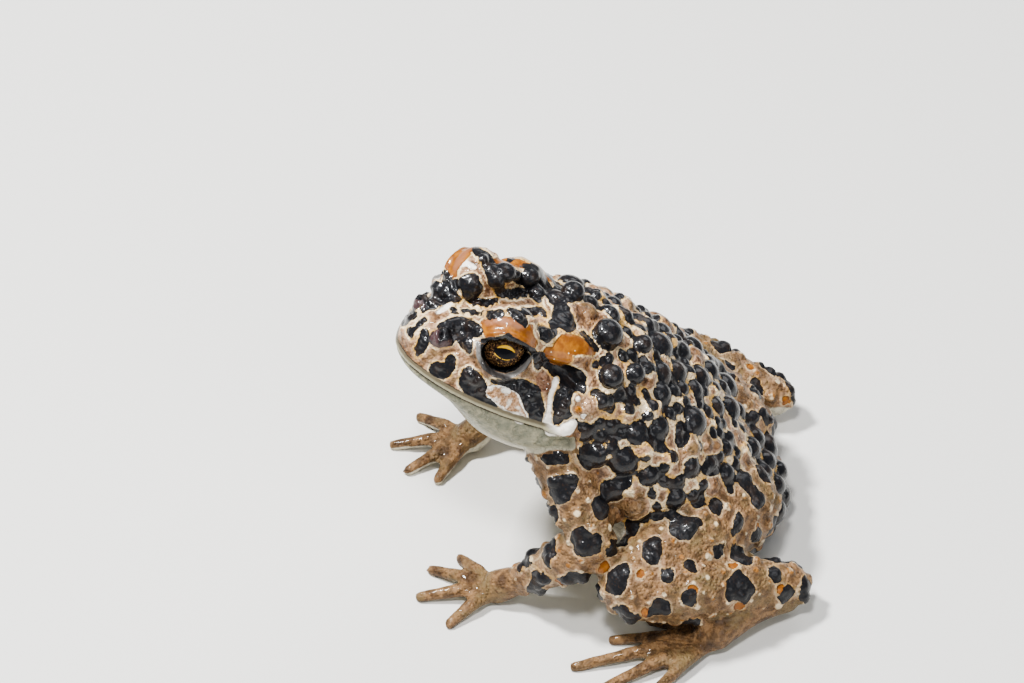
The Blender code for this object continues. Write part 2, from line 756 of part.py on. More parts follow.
def make_arm(side, look):
    word = "left" if side > 0 else "right"
    forward = 0.0 if side > 0 else RIGHT_HAND_FORWARD
    arm = upper_arm(f"upper_arm_{word}", side, forward)
    seed = WART_SEED + side
    boolean(arm, limb_warts("upper_arm", side, LIMB_WARTS["upper_arm"], UPPER_ARM_RADII, seed), "UNION")
    boolean(arm, [body_form("body", GAP)], "DIFFERENCE")
    lower = forearm(f"forearm_{word}", side, forward)
    boolean(lower, limb_warts("forearm", side, LIMB_WARTS["forearm"], FOREARM_RADII, seed), "UNION")
    boolean(lower, [upper_arm("arm", side, forward, GAP)], "DIFFERENCE")
    boolean(lower, [body_form("body", GAP)], "DIFFERENCE")
    hand = palm(f"hand_{word}", side, forward)
    boolean(hand, digits(side, forward, PALM, FINGER_TIPS, FINGER_RADIUS, FINGER_KNUCKLE), "UNION")
    boolean(hand, [forearm("forearm", side, forward, GAP)], "DIFFERENCE")
    boolean(hand, [below_floor()], "DIFFERENCE")
    return [finish(piece, look) for piece in (arm, lower, hand)]


def make_leg(side, look):
    word = "left" if side > 0 else "right"
    upper = thigh(f"thigh_{word}", side)
    seed = WART_SEED + side
    boolean(upper, limb_warts("thigh", side, LIMB_WARTS["thigh"], THIGH_RADII, seed), "UNION")
    boolean(upper, [body_form("body", GAP)], "DIFFERENCE")
    lower = shank(f"shank_{word}", side)
    boolean(lower, limb_warts("shank", side, LIMB_WARTS["shank"], SHANK_RADII, seed), "UNION")
    boolean(lower, [thigh("thigh", side, GAP)], "DIFFERENCE")
    boolean(lower, [body_form("body", GAP)], "DIFFERENCE")
    foot = tarsus(f"foot_{word}", side)
    toes = digits(side, 0.0, TARSUS_END, TOE_TIPS, TOE_RADIUS, TOE_KNUCKLE)
    boolean(foot, toes + [web(side, TARSUS_END, TOE_TIPS)], "UNION")
    boolean(foot, [shank("shank", side, GAP)], "DIFFERENCE")
    boolean(foot, [thigh("thigh", side, GAP)], "DIFFERENCE")
    boolean(foot, [body_form("body", GAP)], "DIFFERENCE")
    boolean(foot, [below_floor()], "DIFFERENCE")
    return [finish(piece, look) for piece in (upper, lower, foot)]


def centre(pieces):
    """Puts the middle of the toad's bounding box over the origin."""
    corners = np.array([vert.co for piece in pieces for vert in piece.data.vertices])
    low, high = corners.min(axis=0), corners.max(axis=0)
    shift = Vector((-(low[0] + high[0]) / 2, -(low[1] + high[1]) / 2, 0.0))
    for piece in pieces:
        piece.data.transform(Matrix.Translation(shift))


def main():
    clear_scene()
    skin = material("skin", COLOURS["skin"], 0.35)
    belly = material("belly", COLOURS["belly"], 0.45)
    eye = material("eye", COLOURS["eye"], 0.1)
    toad = bpy.data.collections.new("toad")
    bpy.context.scene.collection.children.link(toad)
    whole = make_whole_skin()
    pieces = [make_head(whole, skin), make_lower_jaw(belly), make_torso(whole, skin)]
    bpy.data.objects.remove(whole)
    for side in (1, -1):
        pieces.append(finish(eyeball(side), eye))
        pieces += make_arm(side, skin)
        pieces += make_leg(side, skin)
    centre(pieces)
    for piece in pieces:
        toad.objects.link(piece)
        bpy.context.scene.collection.objects.unlink(piece)


main()
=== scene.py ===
"""Looks of a sitting toad: one damp, warty skin over the solids, and two wet eyes.

Sizes are in millimetres unless a comment says otherwise, and MM turns them into metres. The head has its
own frame, midway between the eyes: forward, to its left and up. Marks and swellings of the head are
placed where the picture shows them, on the skin that is seen there.
"""

import math

import bmesh
import bpy
import numpy as np
from mathutils import Matrix, Vector, noise
from mathutils.bvhtree import BVHTree


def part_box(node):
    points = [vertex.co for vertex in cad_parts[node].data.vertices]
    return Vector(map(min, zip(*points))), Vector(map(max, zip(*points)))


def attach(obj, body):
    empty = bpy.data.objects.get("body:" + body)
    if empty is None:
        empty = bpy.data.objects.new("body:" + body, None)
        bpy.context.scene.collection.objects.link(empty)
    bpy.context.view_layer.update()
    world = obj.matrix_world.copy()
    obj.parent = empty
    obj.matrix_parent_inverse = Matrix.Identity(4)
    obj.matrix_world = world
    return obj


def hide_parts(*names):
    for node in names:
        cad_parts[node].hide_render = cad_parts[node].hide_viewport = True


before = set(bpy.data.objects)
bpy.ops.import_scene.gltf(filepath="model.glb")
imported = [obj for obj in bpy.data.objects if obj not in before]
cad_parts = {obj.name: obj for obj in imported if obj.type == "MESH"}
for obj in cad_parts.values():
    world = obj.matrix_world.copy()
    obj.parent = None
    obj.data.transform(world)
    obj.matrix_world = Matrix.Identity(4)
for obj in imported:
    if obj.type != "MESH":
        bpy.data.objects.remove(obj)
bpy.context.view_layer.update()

MM = 0.001
BODY = "root"

# Camera: the picture's size in pixels, its scale at the head, the pixel where the head's middle is, and the
# nearest and farthest that it sees, in metres
PICTURE_SIZE = (1024, 683)
PIXELS_PER_MM = 7.43
HEAD_PIXEL = (489.0, 317.2)
VIEW_AZIMUTH = 87.5
VIEW_ELEVATION = 45.0
CAMERA_DISTANCE = 1600.0
CAMERA_CLIP = (0.05, 50.0)
SENSOR_WIDTH = 36.0

# Head: how it is turned to its left and pitched, and where the eyes are in its own frame
HEAD_TURN = 20.0
HEAD_PITCH = 18.5
EYE_FORWARD = 0.6
EYE_UP = 0.4
EYE_RADIUS = 3.4
EYE_TOE_OUT = 76.0
EYE_TILT = 12.0
MOUTH_FRONT = (11.9, -6.0)
MOUTH_CORNER = (-9.5, -9.6)
NECK_TOP = (-6.0, 3.0)
NECK_BOTTOM = (-12.4, -15.0)

# Skin: how far the solids are swollen to meet, the grain of the mesh, the steps of a round of softening, and
# how far the finer parts reach
SWELL = 0.2
VOXEL = 0.5
MERGE = 0.001
SOFTEN_STEPS = (0.55, -0.57)
FINE_REACH = 19.5
FINE_MOUTH = 1.2
LID_REACH = 1.6
LID_FRONT = 0.3
NOSTRIL_REACH = 1.5
FLESH = [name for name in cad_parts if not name.startswith("eye_")]
HEAD_NODES = ("head", "lower_jaw")
DIGIT_NODES = ("hand_left", "hand_right", "foot_left", "foot_right")

# Underside: rounds of blur, the way that belly and inside of a limb face, and where it begins on each
CALM_BLUR = 12
EDGE_BLUR = 6
BELLY_WAY = (0.0, -0.68, -0.73)
LIMB_WAY = (0.5, 0.85)
BELLY_EDGE = (0.1, 0.45)
LIMB_EDGE = (0.2, 0.6)
LIP_EDGE = (-0.1, 0.2)

# Mouth and nostrils: depth and half width of the line, height, place and spread of the lip, where the line,
# the front and the lip begin and are full, ahead of the neck, and the depth and edge of the pit
MOUTH_LINE = (0.34, 0.2)
UPPER_LIP = (0.2, 0.75, 0.5)
LINE_START = (-0.3, 1.2)
FRONT_START = (0.0, 1.2)
LIP_START = (2.0, 4.5)
THROAT_EDGE = (-8.0, -2.0)
THROAT_BLUR = 10
NOSTRIL_DEPTH = 0.85
NOSTRIL_EDGE = 0.15

# Forms of the head that rise or sink, as chains of (across, down in pixels of the picture, radius in mm),
# after the height in mm that each has, and where a form begins and is full, for its widest radius. Pairs are
# alike on both sides
FORM_EDGE = (-0.35, 0.9)
HEAD_FORMS = {
    "lid_crease": (-0.3, ((484, 317, 0.3), (498, 309, 0.3), (514, 308, 0.3), (528, 316, 0.3),
        (537, 330, 0.3))),
    "far_gland_ridge": (1.9, ((499, 277, 1.6), (509, 275, 1.9), (520, 274, 1.9), (532, 277, 1.5))),
    "far_lid_crease": (-0.3, ((447, 283, 0.4), (454, 296, 0.4), (470, 301, 0.35), (486, 298, 0.35))),
}
HEAD_FORM_PAIRS = {
    "nostril_mound": (0.75, ((441, 338, 1.5),)),
    "nostril_ridge": (0.5, ((447, 324, 0.8), (457, 321, 0.9), (470, 324, 0.9), (479, 331, 0.7))),
    "canthus_dent": (-0.45, ((453, 335, 0.8), (461, 333, 0.9))),
    "canthus_lump": (0.45, ((466, 342, 1.0), (469, 348, 0.7))),
    "cheek_front_lump": (0.4, ((470, 373, 0.9), (477, 380, 1.0))),
    "cheek_hollow": (-0.35, ((466, 356, 0.8), (470, 362, 0.8))),
    "cheek_bulge": (0.8, ((562, 388, 1.4), (564, 400, 1.8), (562, 412, 1.5))),
    "ear": (-0.3, ((543, 378, 0.9), (543, 386, 0.95))),
    "ear_rim": (0.35, ((556, 377, 0.5), (552.5, 387, 0.5), (550, 396, 0.45), (549, 410, 0.4))),
    "corner_lip": (0.6, ((549, 430, 0.8), (560, 430, 0.9), (571, 425, 0.8))),
    "neck_hollow": (-1.2, ((549, 365, 0.8), (566, 374, 1.4), (578, 383, 1.2))),
    "upper_lid_rim": (0.5, ((486, 333, 0.55), (496, 331, 0.6), (507, 330, 0.6), (518, 336, 0.65),
        (529, 342, 0.65), (536, 347, 0.5))),
    "lower_lid_rim": (0.2, ((478.5, 344, 0.36), (479, 356, 0.38), (485, 367, 0.42), (495, 374.5, 0.42),
        (505, 377, 0.42), (515, 374, 0.4), (524, 367, 0.38), (530.5, 358, 0.34))),
    "lower_lid_fold": (-0.35, ((472, 352, 0.35), (474, 366, 0.35), (483, 377, 0.35), (497, 384.5, 0.35),
        (512, 384.5, 0.35), (526, 376, 0.35), (534, 366, 0.3))),
    "gland_groove": (-0.4, ((541, 341, 0.4), (545, 349, 0.4), (543, 357, 0.4))),
}
# Round warts of the head, the nape and the shoulder, as (across, down, radius in mm)
HEAD_WARTS = (
    (470.5, 285, 1.85), (483, 259, 0.85), (491, 270, 1.15), (495, 280, 1.25), (506, 271, 1.5),
    (517, 275, 0.75), (530, 278, 1.4), (537, 292, 1.0), (556, 296, 1.3), (561, 310, 1.2), (562, 321, 1.7),
    (494, 315, 0.7), (511, 312, 0.6), (519, 318, 0.7), (531, 312, 0.65), (541, 312, 0.7), (545, 335, 1.4),
    (433, 303, 0.8), (445, 294, 0.8), (573, 291, 1.6), (596, 295, 0.75), (614, 303, 1.35), (610, 334, 2.25),
    (643, 343, 1.4), (595.5, 364.5, 0.55), (611, 375, 1.75), (637, 373, 1.5), (599, 400, 1.3),
    (610, 402, 1.0), (628, 318, 1.2),
)
CHEEK_WARTS = (
    (505, 383, 0.4), (514, 384, 0.5), (524, 388, 0.6), (521, 396, 0.4), (531, 398, 0.45), (538, 392, 0.45),
    (526, 406, 0.4), (536, 408, 0.5), (541, 417, 0.4), (531, 416, 0.35), (559, 386, 0.5), (567, 390, 0.5),
    (561, 396, 0.45), (569, 400, 0.5), (563, 407, 0.5), (558, 415, 0.45), (540, 359, 0.45), (538, 366, 0.4),
    (474, 383, 0.5), (481, 391, 0.45), (471, 376, 0.6), (488, 398, 0.4), (414, 349, 0.4), (424, 341, 0.5),
)
# Height of a wart for its radius, and the height in mm and the edge of a blotch of the limbs
WART_SHAPE = 0.62
CHEEK_WART_SHAPE = 0.5
CORNER_WART_SHAPE = 0.7
CROWN_GRAIN_SHAPE = 0.8
HEAD_GRAIN_SHAPE = 0.32
BLOTCH_RISE = 0.3
BLOTCH_EDGE = (-0.1, 0.7)
# How far the edges of the lids slide down over the eye, as chains of the picture after the slide in mm, and
# where a slide begins and is full
SLIDE_EDGE = (-0.5, 0.4)
LID_SLIDES = {
    "upper": (0.45, ((486, 333, 0.8), (500, 331, 0.8), (514, 334, 0.9), (526, 340, 1.1), (533, 346, 1.0))),
    "lower": (0.3, ((484, 371, 0.5), (495, 376, 0.6), (505, 378, 0.6), (516, 376, 0.6), (525, 370, 0.5))),
}

# Marks of the head, as chains of (across, down in pixels of the picture, radius in mm)
BLACK_MARKS = {
    "snout_front": ((403.5, 323, 0.42), (409, 316.5, 0.56), (414.5, 309.5, 0.22)),
    "snout_lower": ((411.6, 337, 0.3), (410.7, 331.5, 0.54), (416, 327.5, 0.3), (424.5, 320, 0.42)),
    "canthus_far": ((423, 310, 0.4), (431, 303, 0.7), (440, 297, 0.95), (450, 290, 0.95), (456, 284, 0.7)),
    "outline_far": ((412, 300, 0.2), (423, 293.5, 0.3), (434, 290.5, 0.3)),
    "crown_dots": ((451, 308.5, 0.22), (456, 309.5, 0.25)),
    "crown_dots_low": ((453, 313, 0.22), (458, 313.5, 0.2)),
    "crown_streak": ((462, 311.5, 0.22), (473, 313.5, 0.32), (483, 314, 0.25)),
    "crown_grains": ((468, 298, 0.45), (475, 302, 0.68), (486, 303.5, 0.56), (495, 301.5, 0.45)),
    "crown_grains_behind": ((500, 293, 0.54), (510, 294, 0.8), (522, 293, 0.74), (529, 291, 0.5)),
    "lid_spot": ((490.5, 315.5, 0.6), (500, 313.5, 0.62)),
    "lid_wedge": ((510, 311, 0.45), (517, 315, 0.8), (523, 320, 0.65), (525.5, 326, 0.27)),
    "behind_lid_wedge": ((524, 311, 0.5), (533, 312, 0.66), (541, 310, 0.5), (545, 315, 0.35)),
    "far_lid": ((460, 284, 0.6), (470, 283, 1.3), (471, 287, 1.5)),
    "far_lid_behind": ((476, 250, 0.5), (483, 256, 0.85), (492, 269, 1.0), (496, 279, 1.1), (500, 289, 0.7)),
    "far_gland": ((506, 273, 1.25),),
    "far_neck": ((519, 278, 0.85), (530, 281, 0.95), (538, 286, 0.9)),
    "far_neck_low": ((533, 293, 0.7), (539, 300, 0.5)),
    "nape": ((556, 296, 1.2), (571, 290, 1.75)),
}
BLACK_PAIRS = {
    "snout_side": ((424, 333, 0.6), (424.5, 339, 0.78), (420, 349, 0.68), (418, 353.5, 0.42)),
    "nostril": ((438, 339, 1.15), (447, 337, 1.3), (444, 328, 0.9)),
    "canthus": ((444, 326, 0.7), (456, 322, 0.75), (469, 324.5, 0.85), (477, 331, 0.85)),
    "canthus_side": ((452, 333, 1.0), (464, 335, 1.25), (467, 345, 0.85), (468.5, 350.5, 0.42)),
    "lid_notch": ((503, 337.5, 0.22), (508, 335.5, 0.4), (513.5, 338.5, 0.25)),
    "cheek_heart": ((450.9, 359.5, 0.7), (450, 367, 0.75), (443, 371, 1.15), (437, 369.5, 1.05)),
    "cheek_front": ((468, 374, 1.0), (471, 382, 1.6), (476, 390, 1.65), (484, 400, 1.2), (495, 409.5, 0.7)),
    "under_eye": ((492, 381, 0.3), (502, 382.5, 0.5), (513, 384, 0.75), (523, 387, 1.1)),
    "cheek_rear": ((523, 387, 1.1), (530, 394, 1.5), (533, 405, 1.5), (538, 416, 1.15), (541, 425, 0.6)),
    "cheek_bulge": ((563, 386, 1.05), (565, 397, 1.5), (564, 408, 1.55), (558, 417, 0.8), (556, 423, 0.5)),
    # Black in the hollow under the gland is painted shade
    "painted_hollow_shade": ((541, 357, 0.75), (547, 366, 0.5), (557, 372, 0.8), (567, 373, 1.15), (576, 379, 1.4),
        (581, 389, 0.8)),
    "behind_eye": ((532, 350, 0.35), (534.5, 354, 0.55), (539, 359, 0.75), (537.5, 366, 0.5)),
    "lid_wart": ((541, 331, 0.9), (547, 337, 0.85), (554, 333, 0.6)),
    "crown_wart": ((553, 324, 0.65), (562, 320, 1.15), (570, 326, 0.9)),
    "crown_wart_behind": ((561, 311, 1.05),),
    "gland_back": ((582, 333, 0.33), (590, 341, 0.45), (597, 350, 0.33)),
    "shoulder": ((596, 394, 0.8), (604, 400, 0.9), (610, 408, 0.8)),
}
RUST_MARKS = {
    "far_lid": ((451, 275, 0.5), (454, 266, 0.85), (461, 255, 0.95), (469, 248, 0.6)),
    "far_gland": ((495, 262, 0.5), (507, 261, 0.6), (519, 263, 0.6), (531, 268, 0.55), (541, 273, 0.45)),
    "far_neck": ((543, 275, 0.3), (551, 281, 0.25)),
}
RUST_PAIRS = {
    "lid": ((487, 325, 0.85), (488, 334, 0.62), (498, 326, 1.25), (508, 325, 1.15), (517, 331, 1.1),
        (527, 337, 1.0), (533, 343, 0.65)),
    "lid_corner": ((525, 337, 0.9), (531, 327, 0.4)),
    "gland": ((549, 353, 0.85), (557, 354, 1.15), (566, 345, 1.5), (574, 345, 1.4), (583, 347, 1.05),
        (592, 351, 0.6)),
    "gland_low": ((551, 361, 0.5), (557, 361, 0.75), (566, 358, 0.9)),
}
# Painted highlights on one side: white on the crown and a pale sheen on the far lid, where the wet skin
# shines
PAINTED_HIGHLIGHTS = {
    "crown": ((437, 313, 0.25), (445, 308, 0.4), (451, 304, 0.2)),
    "far_lid": ((459, 266, 0.3), (466, 263, 0.45), (474, 267, 0.4)),
}
PALE_PAIRS = {
    "cheek_margin": ((500, 410, 0.3), (510, 415, 0.55), (518, 418, 0.75), (524, 421, 0.55)),
    # The cheek spot is a painted highlight
    "cheek_highlight": ((503, 390, 0.35), (508, 391, 0.35)),
    "eye_front": ((477.5, 343, 0.3), (478, 351, 0.25)),
    "ear_top": ((556, 380, 0.42), (552.5, 387, 0.38)),
    "stripe": ((553.5, 386, 0.42), (551, 394, 0.34), (549.5, 403, 0.3), (548.5, 413, 0.4), (547, 423, 0.65)),
    "corner": ((547, 425, 0.7), (550, 431, 0.68), (560, 431.5, 0.68), (569, 427.5, 0.8), (573, 423, 0.6)),
}
# Other marks, alike on both sides, under the names of the values that the material reads
OTHER_MARKS = {
    "pink": {"cheek": ((492, 392, 0.75), (500, 395, 1.15), (510, 401, 1.3), (514, 408, 1.1),
        (522, 416, 0.65))},
    "ear": {"drum": ((543, 378.5, 0.95), (544, 384.5, 1.1))},
    "lid_ring": {"lower": HEAD_FORM_PAIRS["lower_lid_rim"][1]},
    # The dark lower part of the lower lid is painted shade under the eye
    "lid_shade": {"lower": ((482, 364, 0.5), (488, 371, 0.6), (497, 376, 0.6), (507, 378.5, 0.5))},
    # Dark lid edges: the upper one is the dark margin with painted shadow under the lid's roll over the eye,
    # the lower one the dark rim below the eye
    "lid_rim_and_shadow": {
        "upper": ((483, 341, 0.32), (490, 339.3, 0.3), (498, 338.8, 0.3), (508, 337.5, 0.36),
            (517, 341.5, 0.36), (525, 346, 0.36), (532, 350.5, 0.36)),
        "lower": ((482.5, 346, 0.26), (483, 355, 0.26), (487, 362.5, 0.28), (494, 367.8, 0.3),
            (505, 370.8, 0.3), (514, 368.3, 0.3), (521.5, 362.3, 0.3), (528, 355.5, 0.3)),
    },
    "nostril_ring": {
        "front": ((437, 331, 0.35), (434.5, 338, 0.55), (436, 345, 0.45)),
        # The low chain is a painted sheen below the nostril
        "low": ((440, 346, 0.35), (447, 343.5, 0.45), (451, 341, 0.25)),
    },
    # The rose on the top of the upper lid is a painted sheen
    "rose_and_sheen": {"lid": ((487, 322.5, 0.45), (499, 321, 0.6), (511, 322.5, 0.55), (521, 327, 0.4))},
    "gland": {name: RUST_PAIRS[name] for name in ("gland", "gland_low")},
}
# Nostril openings, sunk and painted black as painted shade inside them
NOSTRIL_PIT = ((440.3, 333.5, 0.27), (440.8, 337.5, 0.27))
CROWN_MARKS = {name: BLACK_MARKS[name] for name in ("crown_grains", "crown_grains_behind", "crown_streak")}
# Warts behind the corner of the mouth, under the colour of each
CORNER_WARTS = {
    "white": {"upper": ((578, 399, 0.4),), "lower": ((583, 415.5, 0.36),)},
    "orange": {"middle": ((578, 409.5, 0.5),)},
    "pink": {"outer": ((588, 404, 0.6), (591, 409, 0.5))},
}
# How far round its pixels a mark is looked for, the value far outside it, and the gaps in mm that black and
# drawn marks keep
MARK_REACH = 2.2
OUTSIDE = -9.0
PALE_GAP = 0.12
CORNER_GAP = 0.55
DRAWN_GAP = 1.3
CROWN_LEVEL = 1.7
CROWN_GAPS = {"rust": 0.4, "lid_ring": 0.6}

# Eyes: start and reach of the clear bulge as shares of the radius, its rise, and the iris and the pupil in
# the plane across the sight
EYE_SEGMENTS = (72, 40)
CORNEA_START = 0.72
CORNEA_REACH = 0.28
CORNEA_RISE = 0.25
IRIS_RADIUS = 2.92
IRIS_FORWARD = 0.15
PUPIL_RADII = (1.55, 0.76)
PUPIL_AT = (0.38, 0.08)
PUPIL_SLOPE = 8.0
GOLD_GAP = 0.29

# Warts that the solids carry, found again on the skin, and what is drawn at random around them, as (count,
# radii in mm, share of the summed radii that two keep apart), with the places tried for each
WART_BLUR = 22
WART_LEAST = 0.16
WART_APART = 1.5
WART_SPREAD = 2.2
WART_RADII = (0.8, 1.7)
MARK_SEED = 7
TRIES = 40
FAR_AWAY = (9.0, 9.0, 9.0)
BACK_DOMES = (90, (1.4, 2.1), 1.06)
BACK_WARTS = (170, (0.7, 1.2), 1.06)
BACK_GRAINS = (260, (0.45, 0.65), 1.1)
LIMB_WARTS = (300, (0.6, 1.05), 1.16)
BACK_BLOTCHES = (60, (1.0, 1.8), 1.9)
LIMB_BLOTCHES = (90, (1.0, 2.3), 1.25)
DIGIT_BLOTCHES = (40, (0.6, 1.1), 1.7)
RUST_SPOTS = (26, (0.6, 1.1), 3.6)
BACK_SHARE = 0.35
BLACK_SHARE = 0.86
BLOTCH_WOBBLE = ((2.6, 1.1), (1.1, 0.5))
DIGIT_UNEVEN = 0.3
DOME_UNEVEN = 0.15
DOME_MARGIN = 0.1
STAIN_END = 0.4
STAIN_FADE = 3.0
CROWN_GRAINS = (110, (0.36, 0.5), 0.8)
HEAD_GRAINS = (420, (0.3, 0.5), 0.95)

COLOURS = {
    "tan": (0.29, 0.158, 0.074),
    "brown": (0.105, 0.051, 0.024),
    "pink": (0.50, 0.31, 0.19),
    "olive": (0.17, 0.115, 0.052),
    "cream": (0.90, 0.76, 0.52),
    "ochre": (0.60, 0.36, 0.11),
    "white": (0.93, 0.88, 0.79),
    # Black, with a slight blue that is a painted reflection of the sky
    "black": (0.0085, 0.0085, 0.0105),
    "umber": (0.050, 0.026, 0.013),
    "rust": (0.20, 0.064, 0.008),
    "orange": (0.345, 0.132, 0.015),
    # Rose: mottles the rust, and is a painted sheen on the top of the lid
    "rose_and_sheen": (0.29, 0.125, 0.064),
    "violet": (0.075, 0.040, 0.042),
    # Throat, darkened towards the shade under the jaw: partly its own grey-green, partly painted shade
    "throat": (0.185, 0.187, 0.130),
    "crease": (0.10, 0.11, 0.07),
    "lip": (0.35, 0.32, 0.195),
    # Top of the upper lip band: partly its own olive-brown, partly painted shade under the cheek
    "lip_dark_and_shade": (0.13, 0.108, 0.068),
    "lid_grey": (0.155, 0.147, 0.138),
    # Painted shade for the lower part of the lid ring
    "lid_painted_shade": (0.020, 0.016, 0.016),
    "ear": (0.25, 0.115, 0.068),
    "belly": (0.62, 0.565, 0.44),
    "belly_grey": (0.33, 0.305, 0.235),
    "gold": (0.68, 0.40, 0.045),
    "bronze": (0.36, 0.23, 0.09),
    "copper": (0.12, 0.062, 0.030),
    "iris": (0.016, 0.009, 0.006),
    "floor": (0.72, 0.71, 0.68),
}

# Depth in mm of the grain that only the light shows
GRAIN_DEPTH = 0.12

# Studio: azimuth, elevation, distance and size in metres and power in watts of each lamp, the light all
# round, and the floor's half size in metres and its drop
LAMPS = {
    "key": (345, 64, 0.5, 0.075, 4.8),
    "side": (78, 66, 0.55, 0.075, 2.3),
    "fill": (130, 30, 0.8, 0.4, 1.3),
    "back": (235, 40, 0.8, 0.4, 1.5),
}
SKY_COLOUR = (0.80, 0.87, 0.97, 1.0)
SKY_STRENGTH = 0.22
FLOOR_HALF = 1.5
FLOOR_DROP = 0.02


def axes(turn, pitch):
    """Unit vectors forward, left and up of what looks at -Y, is turned to the toad's left and pitched up."""
    a, p = math.radians(turn), math.radians(pitch)
    forward = Vector((math.sin(a) * math.cos(p), -math.cos(a) * math.cos(p), math.sin(p)))
    left = Vector((math.cos(a), math.sin(a), 0.0))
    return forward, left, forward.cross(left)


def node_middle(name):
    low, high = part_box(name)
    return (low + high) / 2


EYES = {1: node_middle("eye_left"), -1: node_middle("eye_right")}
HEAD_AXES = axes(HEAD_TURN, HEAD_PITCH)
HEAD_MIDDLE = (EYES[1] + EYES[-1]) / 2 - HEAD_AXES[0] * EYE_FORWARD * MM - HEAD_AXES[2] * EYE_UP * MM


def in_head(points):
    """Forward, left and up of each point, in millimetres."""
    return (points - np.array(HEAD_MIDDLE)) @ np.array(HEAD_AXES).T / MM


def other_side(points):
    """The points' mirror images across the middle plane of the head."""
    left = np.array(HEAD_AXES[1])
    return points - 2 * np.outer((points - np.array(HEAD_MIDDLE)) @ left, left)


class Picture:
    """The photograph's view: the camera, and where a point of space shows in the picture."""

    def __init__(self):
        toward, self.right, self.up = axes(VIEW_AZIMUTH, VIEW_ELEVATION)
        self.ahead = -toward
        self.middle = np.array(PICTURE_SIZE) / 2
        across, down = (self.middle - HEAD_PIXEL) / PIXELS_PER_MM * MM
        self.target = HEAD_MIDDLE + self.right * across - self.up * down
        self.eye = self.target - self.ahead * CAMERA_DISTANCE * MM
        self.focal = PIXELS_PER_MM * CAMERA_DISTANCE

    def places(self, points):
        """Pixel across and down of each point."""
        away = points - np.array(self.eye)
        depth = away @ np.array(self.ahead)
        flat = np.stack((away @ np.array(self.right), -away @ np.array(self.up)), axis=1)
        return self.middle + flat / depth[:, None] * self.focal

    def ray(self, across, down):
        """Unit direction from the camera through a pixel."""
        x, y = (np.array((across, down)) - self.middle) / self.focal
        return (self.ahead + self.right * x - self.up * y).normalized()

    def make_camera(self):
        data = bpy.data.cameras.new("camera")
        data.sensor_width = SENSOR_WIDTH
        data.lens = self.focal / PICTURE_SIZE[0] * SENSOR_WIDTH
        data.clip_start, data.clip_end = CAMERA_CLIP
        camera = link("camera", data)
        turn = Matrix((self.right, self.up, -self.ahead)).transposed().to_4x4()
        camera.matrix_world = Matrix.Translation(self.eye) @ turn
        bpy.context.scene.camera = camera


PICTURE = Picture()


def smooth_step(values, low, high):
    share = np.clip((values - low) / (high - low), 0.0, 1.0)
    return share * share * (3 - 2 * share)


def link(name, data):
    obj = bpy.data.objects.new(name, data)
    bpy.context.scene.collection.objects.link(obj)
    return obj


def from_bmesh(bm, name):
    mesh = bpy.data.meshes.new(name)
    bm.to_mesh(mesh)
    bm.free()
    mesh.shade_smooth()
    return link(name, mesh)


def swollen_flesh():
    """The flesh solids as one mesh, each swollen a little so that it runs into its neighbours."""
    whole = bmesh.new()
    for name in FLESH:
        part = bmesh.new()
        part.from_mesh(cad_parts[name].data)
        bmesh.ops.remove_doubles(part, verts=part.verts, dist=MERGE * MM)
        part.normal_update()
        for vert in part.verts:
            vert.co += vert.normal * SWELL * MM
        piece = bpy.data.meshes.new(name)
        part.to_mesh(piece)
        part.free()
        whole.from_mesh(piece)
        bpy.data.meshes.remove(piece)
    return from_bmesh(whole, "toad_skin")


def remesh(obj):
    """Fuses the object's overlapping bodies into one closed skin."""
    change = obj.modifiers.new("one_skin", "REMESH")
    change.mode = "VOXEL"
    change.voxel_size = VOXEL * MM
    graph = bpy.context.evaluated_depsgraph_get()
    mesh = bpy.data.meshes.new_from_object(obj.evaluated_get(graph))
    obj.modifiers.clear()
    obj.data = mesh
    return obj


def head_is_near(surface):
    """The upper side of the head and the nape, and both sides of the mouth."""
    near = np.linalg.norm(surface.co - np.array(HEAD_MIDDLE), axis=1) < FINE_REACH * MM
    mouth = (np.abs(mouth_level(surface.co)) < FINE_MOUTH) & (neck_distance(surface.co) > 0)
    return near & (mouth | (underside(surface, nearest_nodes(surface)) < 0.5))


def lids_are_near(surface):
    """Round the openings of the eyes and round the nostrils."""
    holes = [(at, NOSTRIL_REACH) for at, _ in Marker(surface).spots(NOSTRIL_PIT, True)]
    near = inside_spots(surface.co, holes) > 0
    for side in EYES:
        ahead = in_eye(surface.co, side)
        near |= (ahead[:, 2] > LID_FRONT) & (np.linalg.norm(ahead, axis=1) < EYE_RADIUS + LID_REACH)
    return near


def refine(obj, detailed):
    """Halves the mesh size at the points that the test picks."""
    detailed = detailed(Surface(obj))
    bm = bmesh.new()
    bm.from_mesh(obj.data)
    fine = [edge for edge in bm.edges if all(detailed[vert.index] for vert in edge.verts)]
    bmesh.ops.subdivide_edges(bm, edges=fine, cuts=1, use_grid_fill=True)
    bmesh.ops.triangulate(bm, faces=[face for face in bm.faces if len(face.verts) > 4])
    bm.to_mesh(obj.data)
    bm.free()
    obj.data.shade_smooth()


def drop_voids(obj):
    """Deletes the small closed voids that the fusing left inside the skin."""
    bm = bmesh.new()
    bm.from_mesh(obj.data)
    reached = [max(bm.verts, key=lambda vert: vert.co.x)]
    left = set(bm.verts) - set(reached)
    for vert in reached:
        beside = left.intersection(edge.other_vert(vert) for edge in vert.link_edges)
        left -= beside
        reached.extend(beside)
    bmesh.ops.delete(bm, geom=list(left), context="VERTS")
    bm.to_mesh(obj.data)
    bm.free()


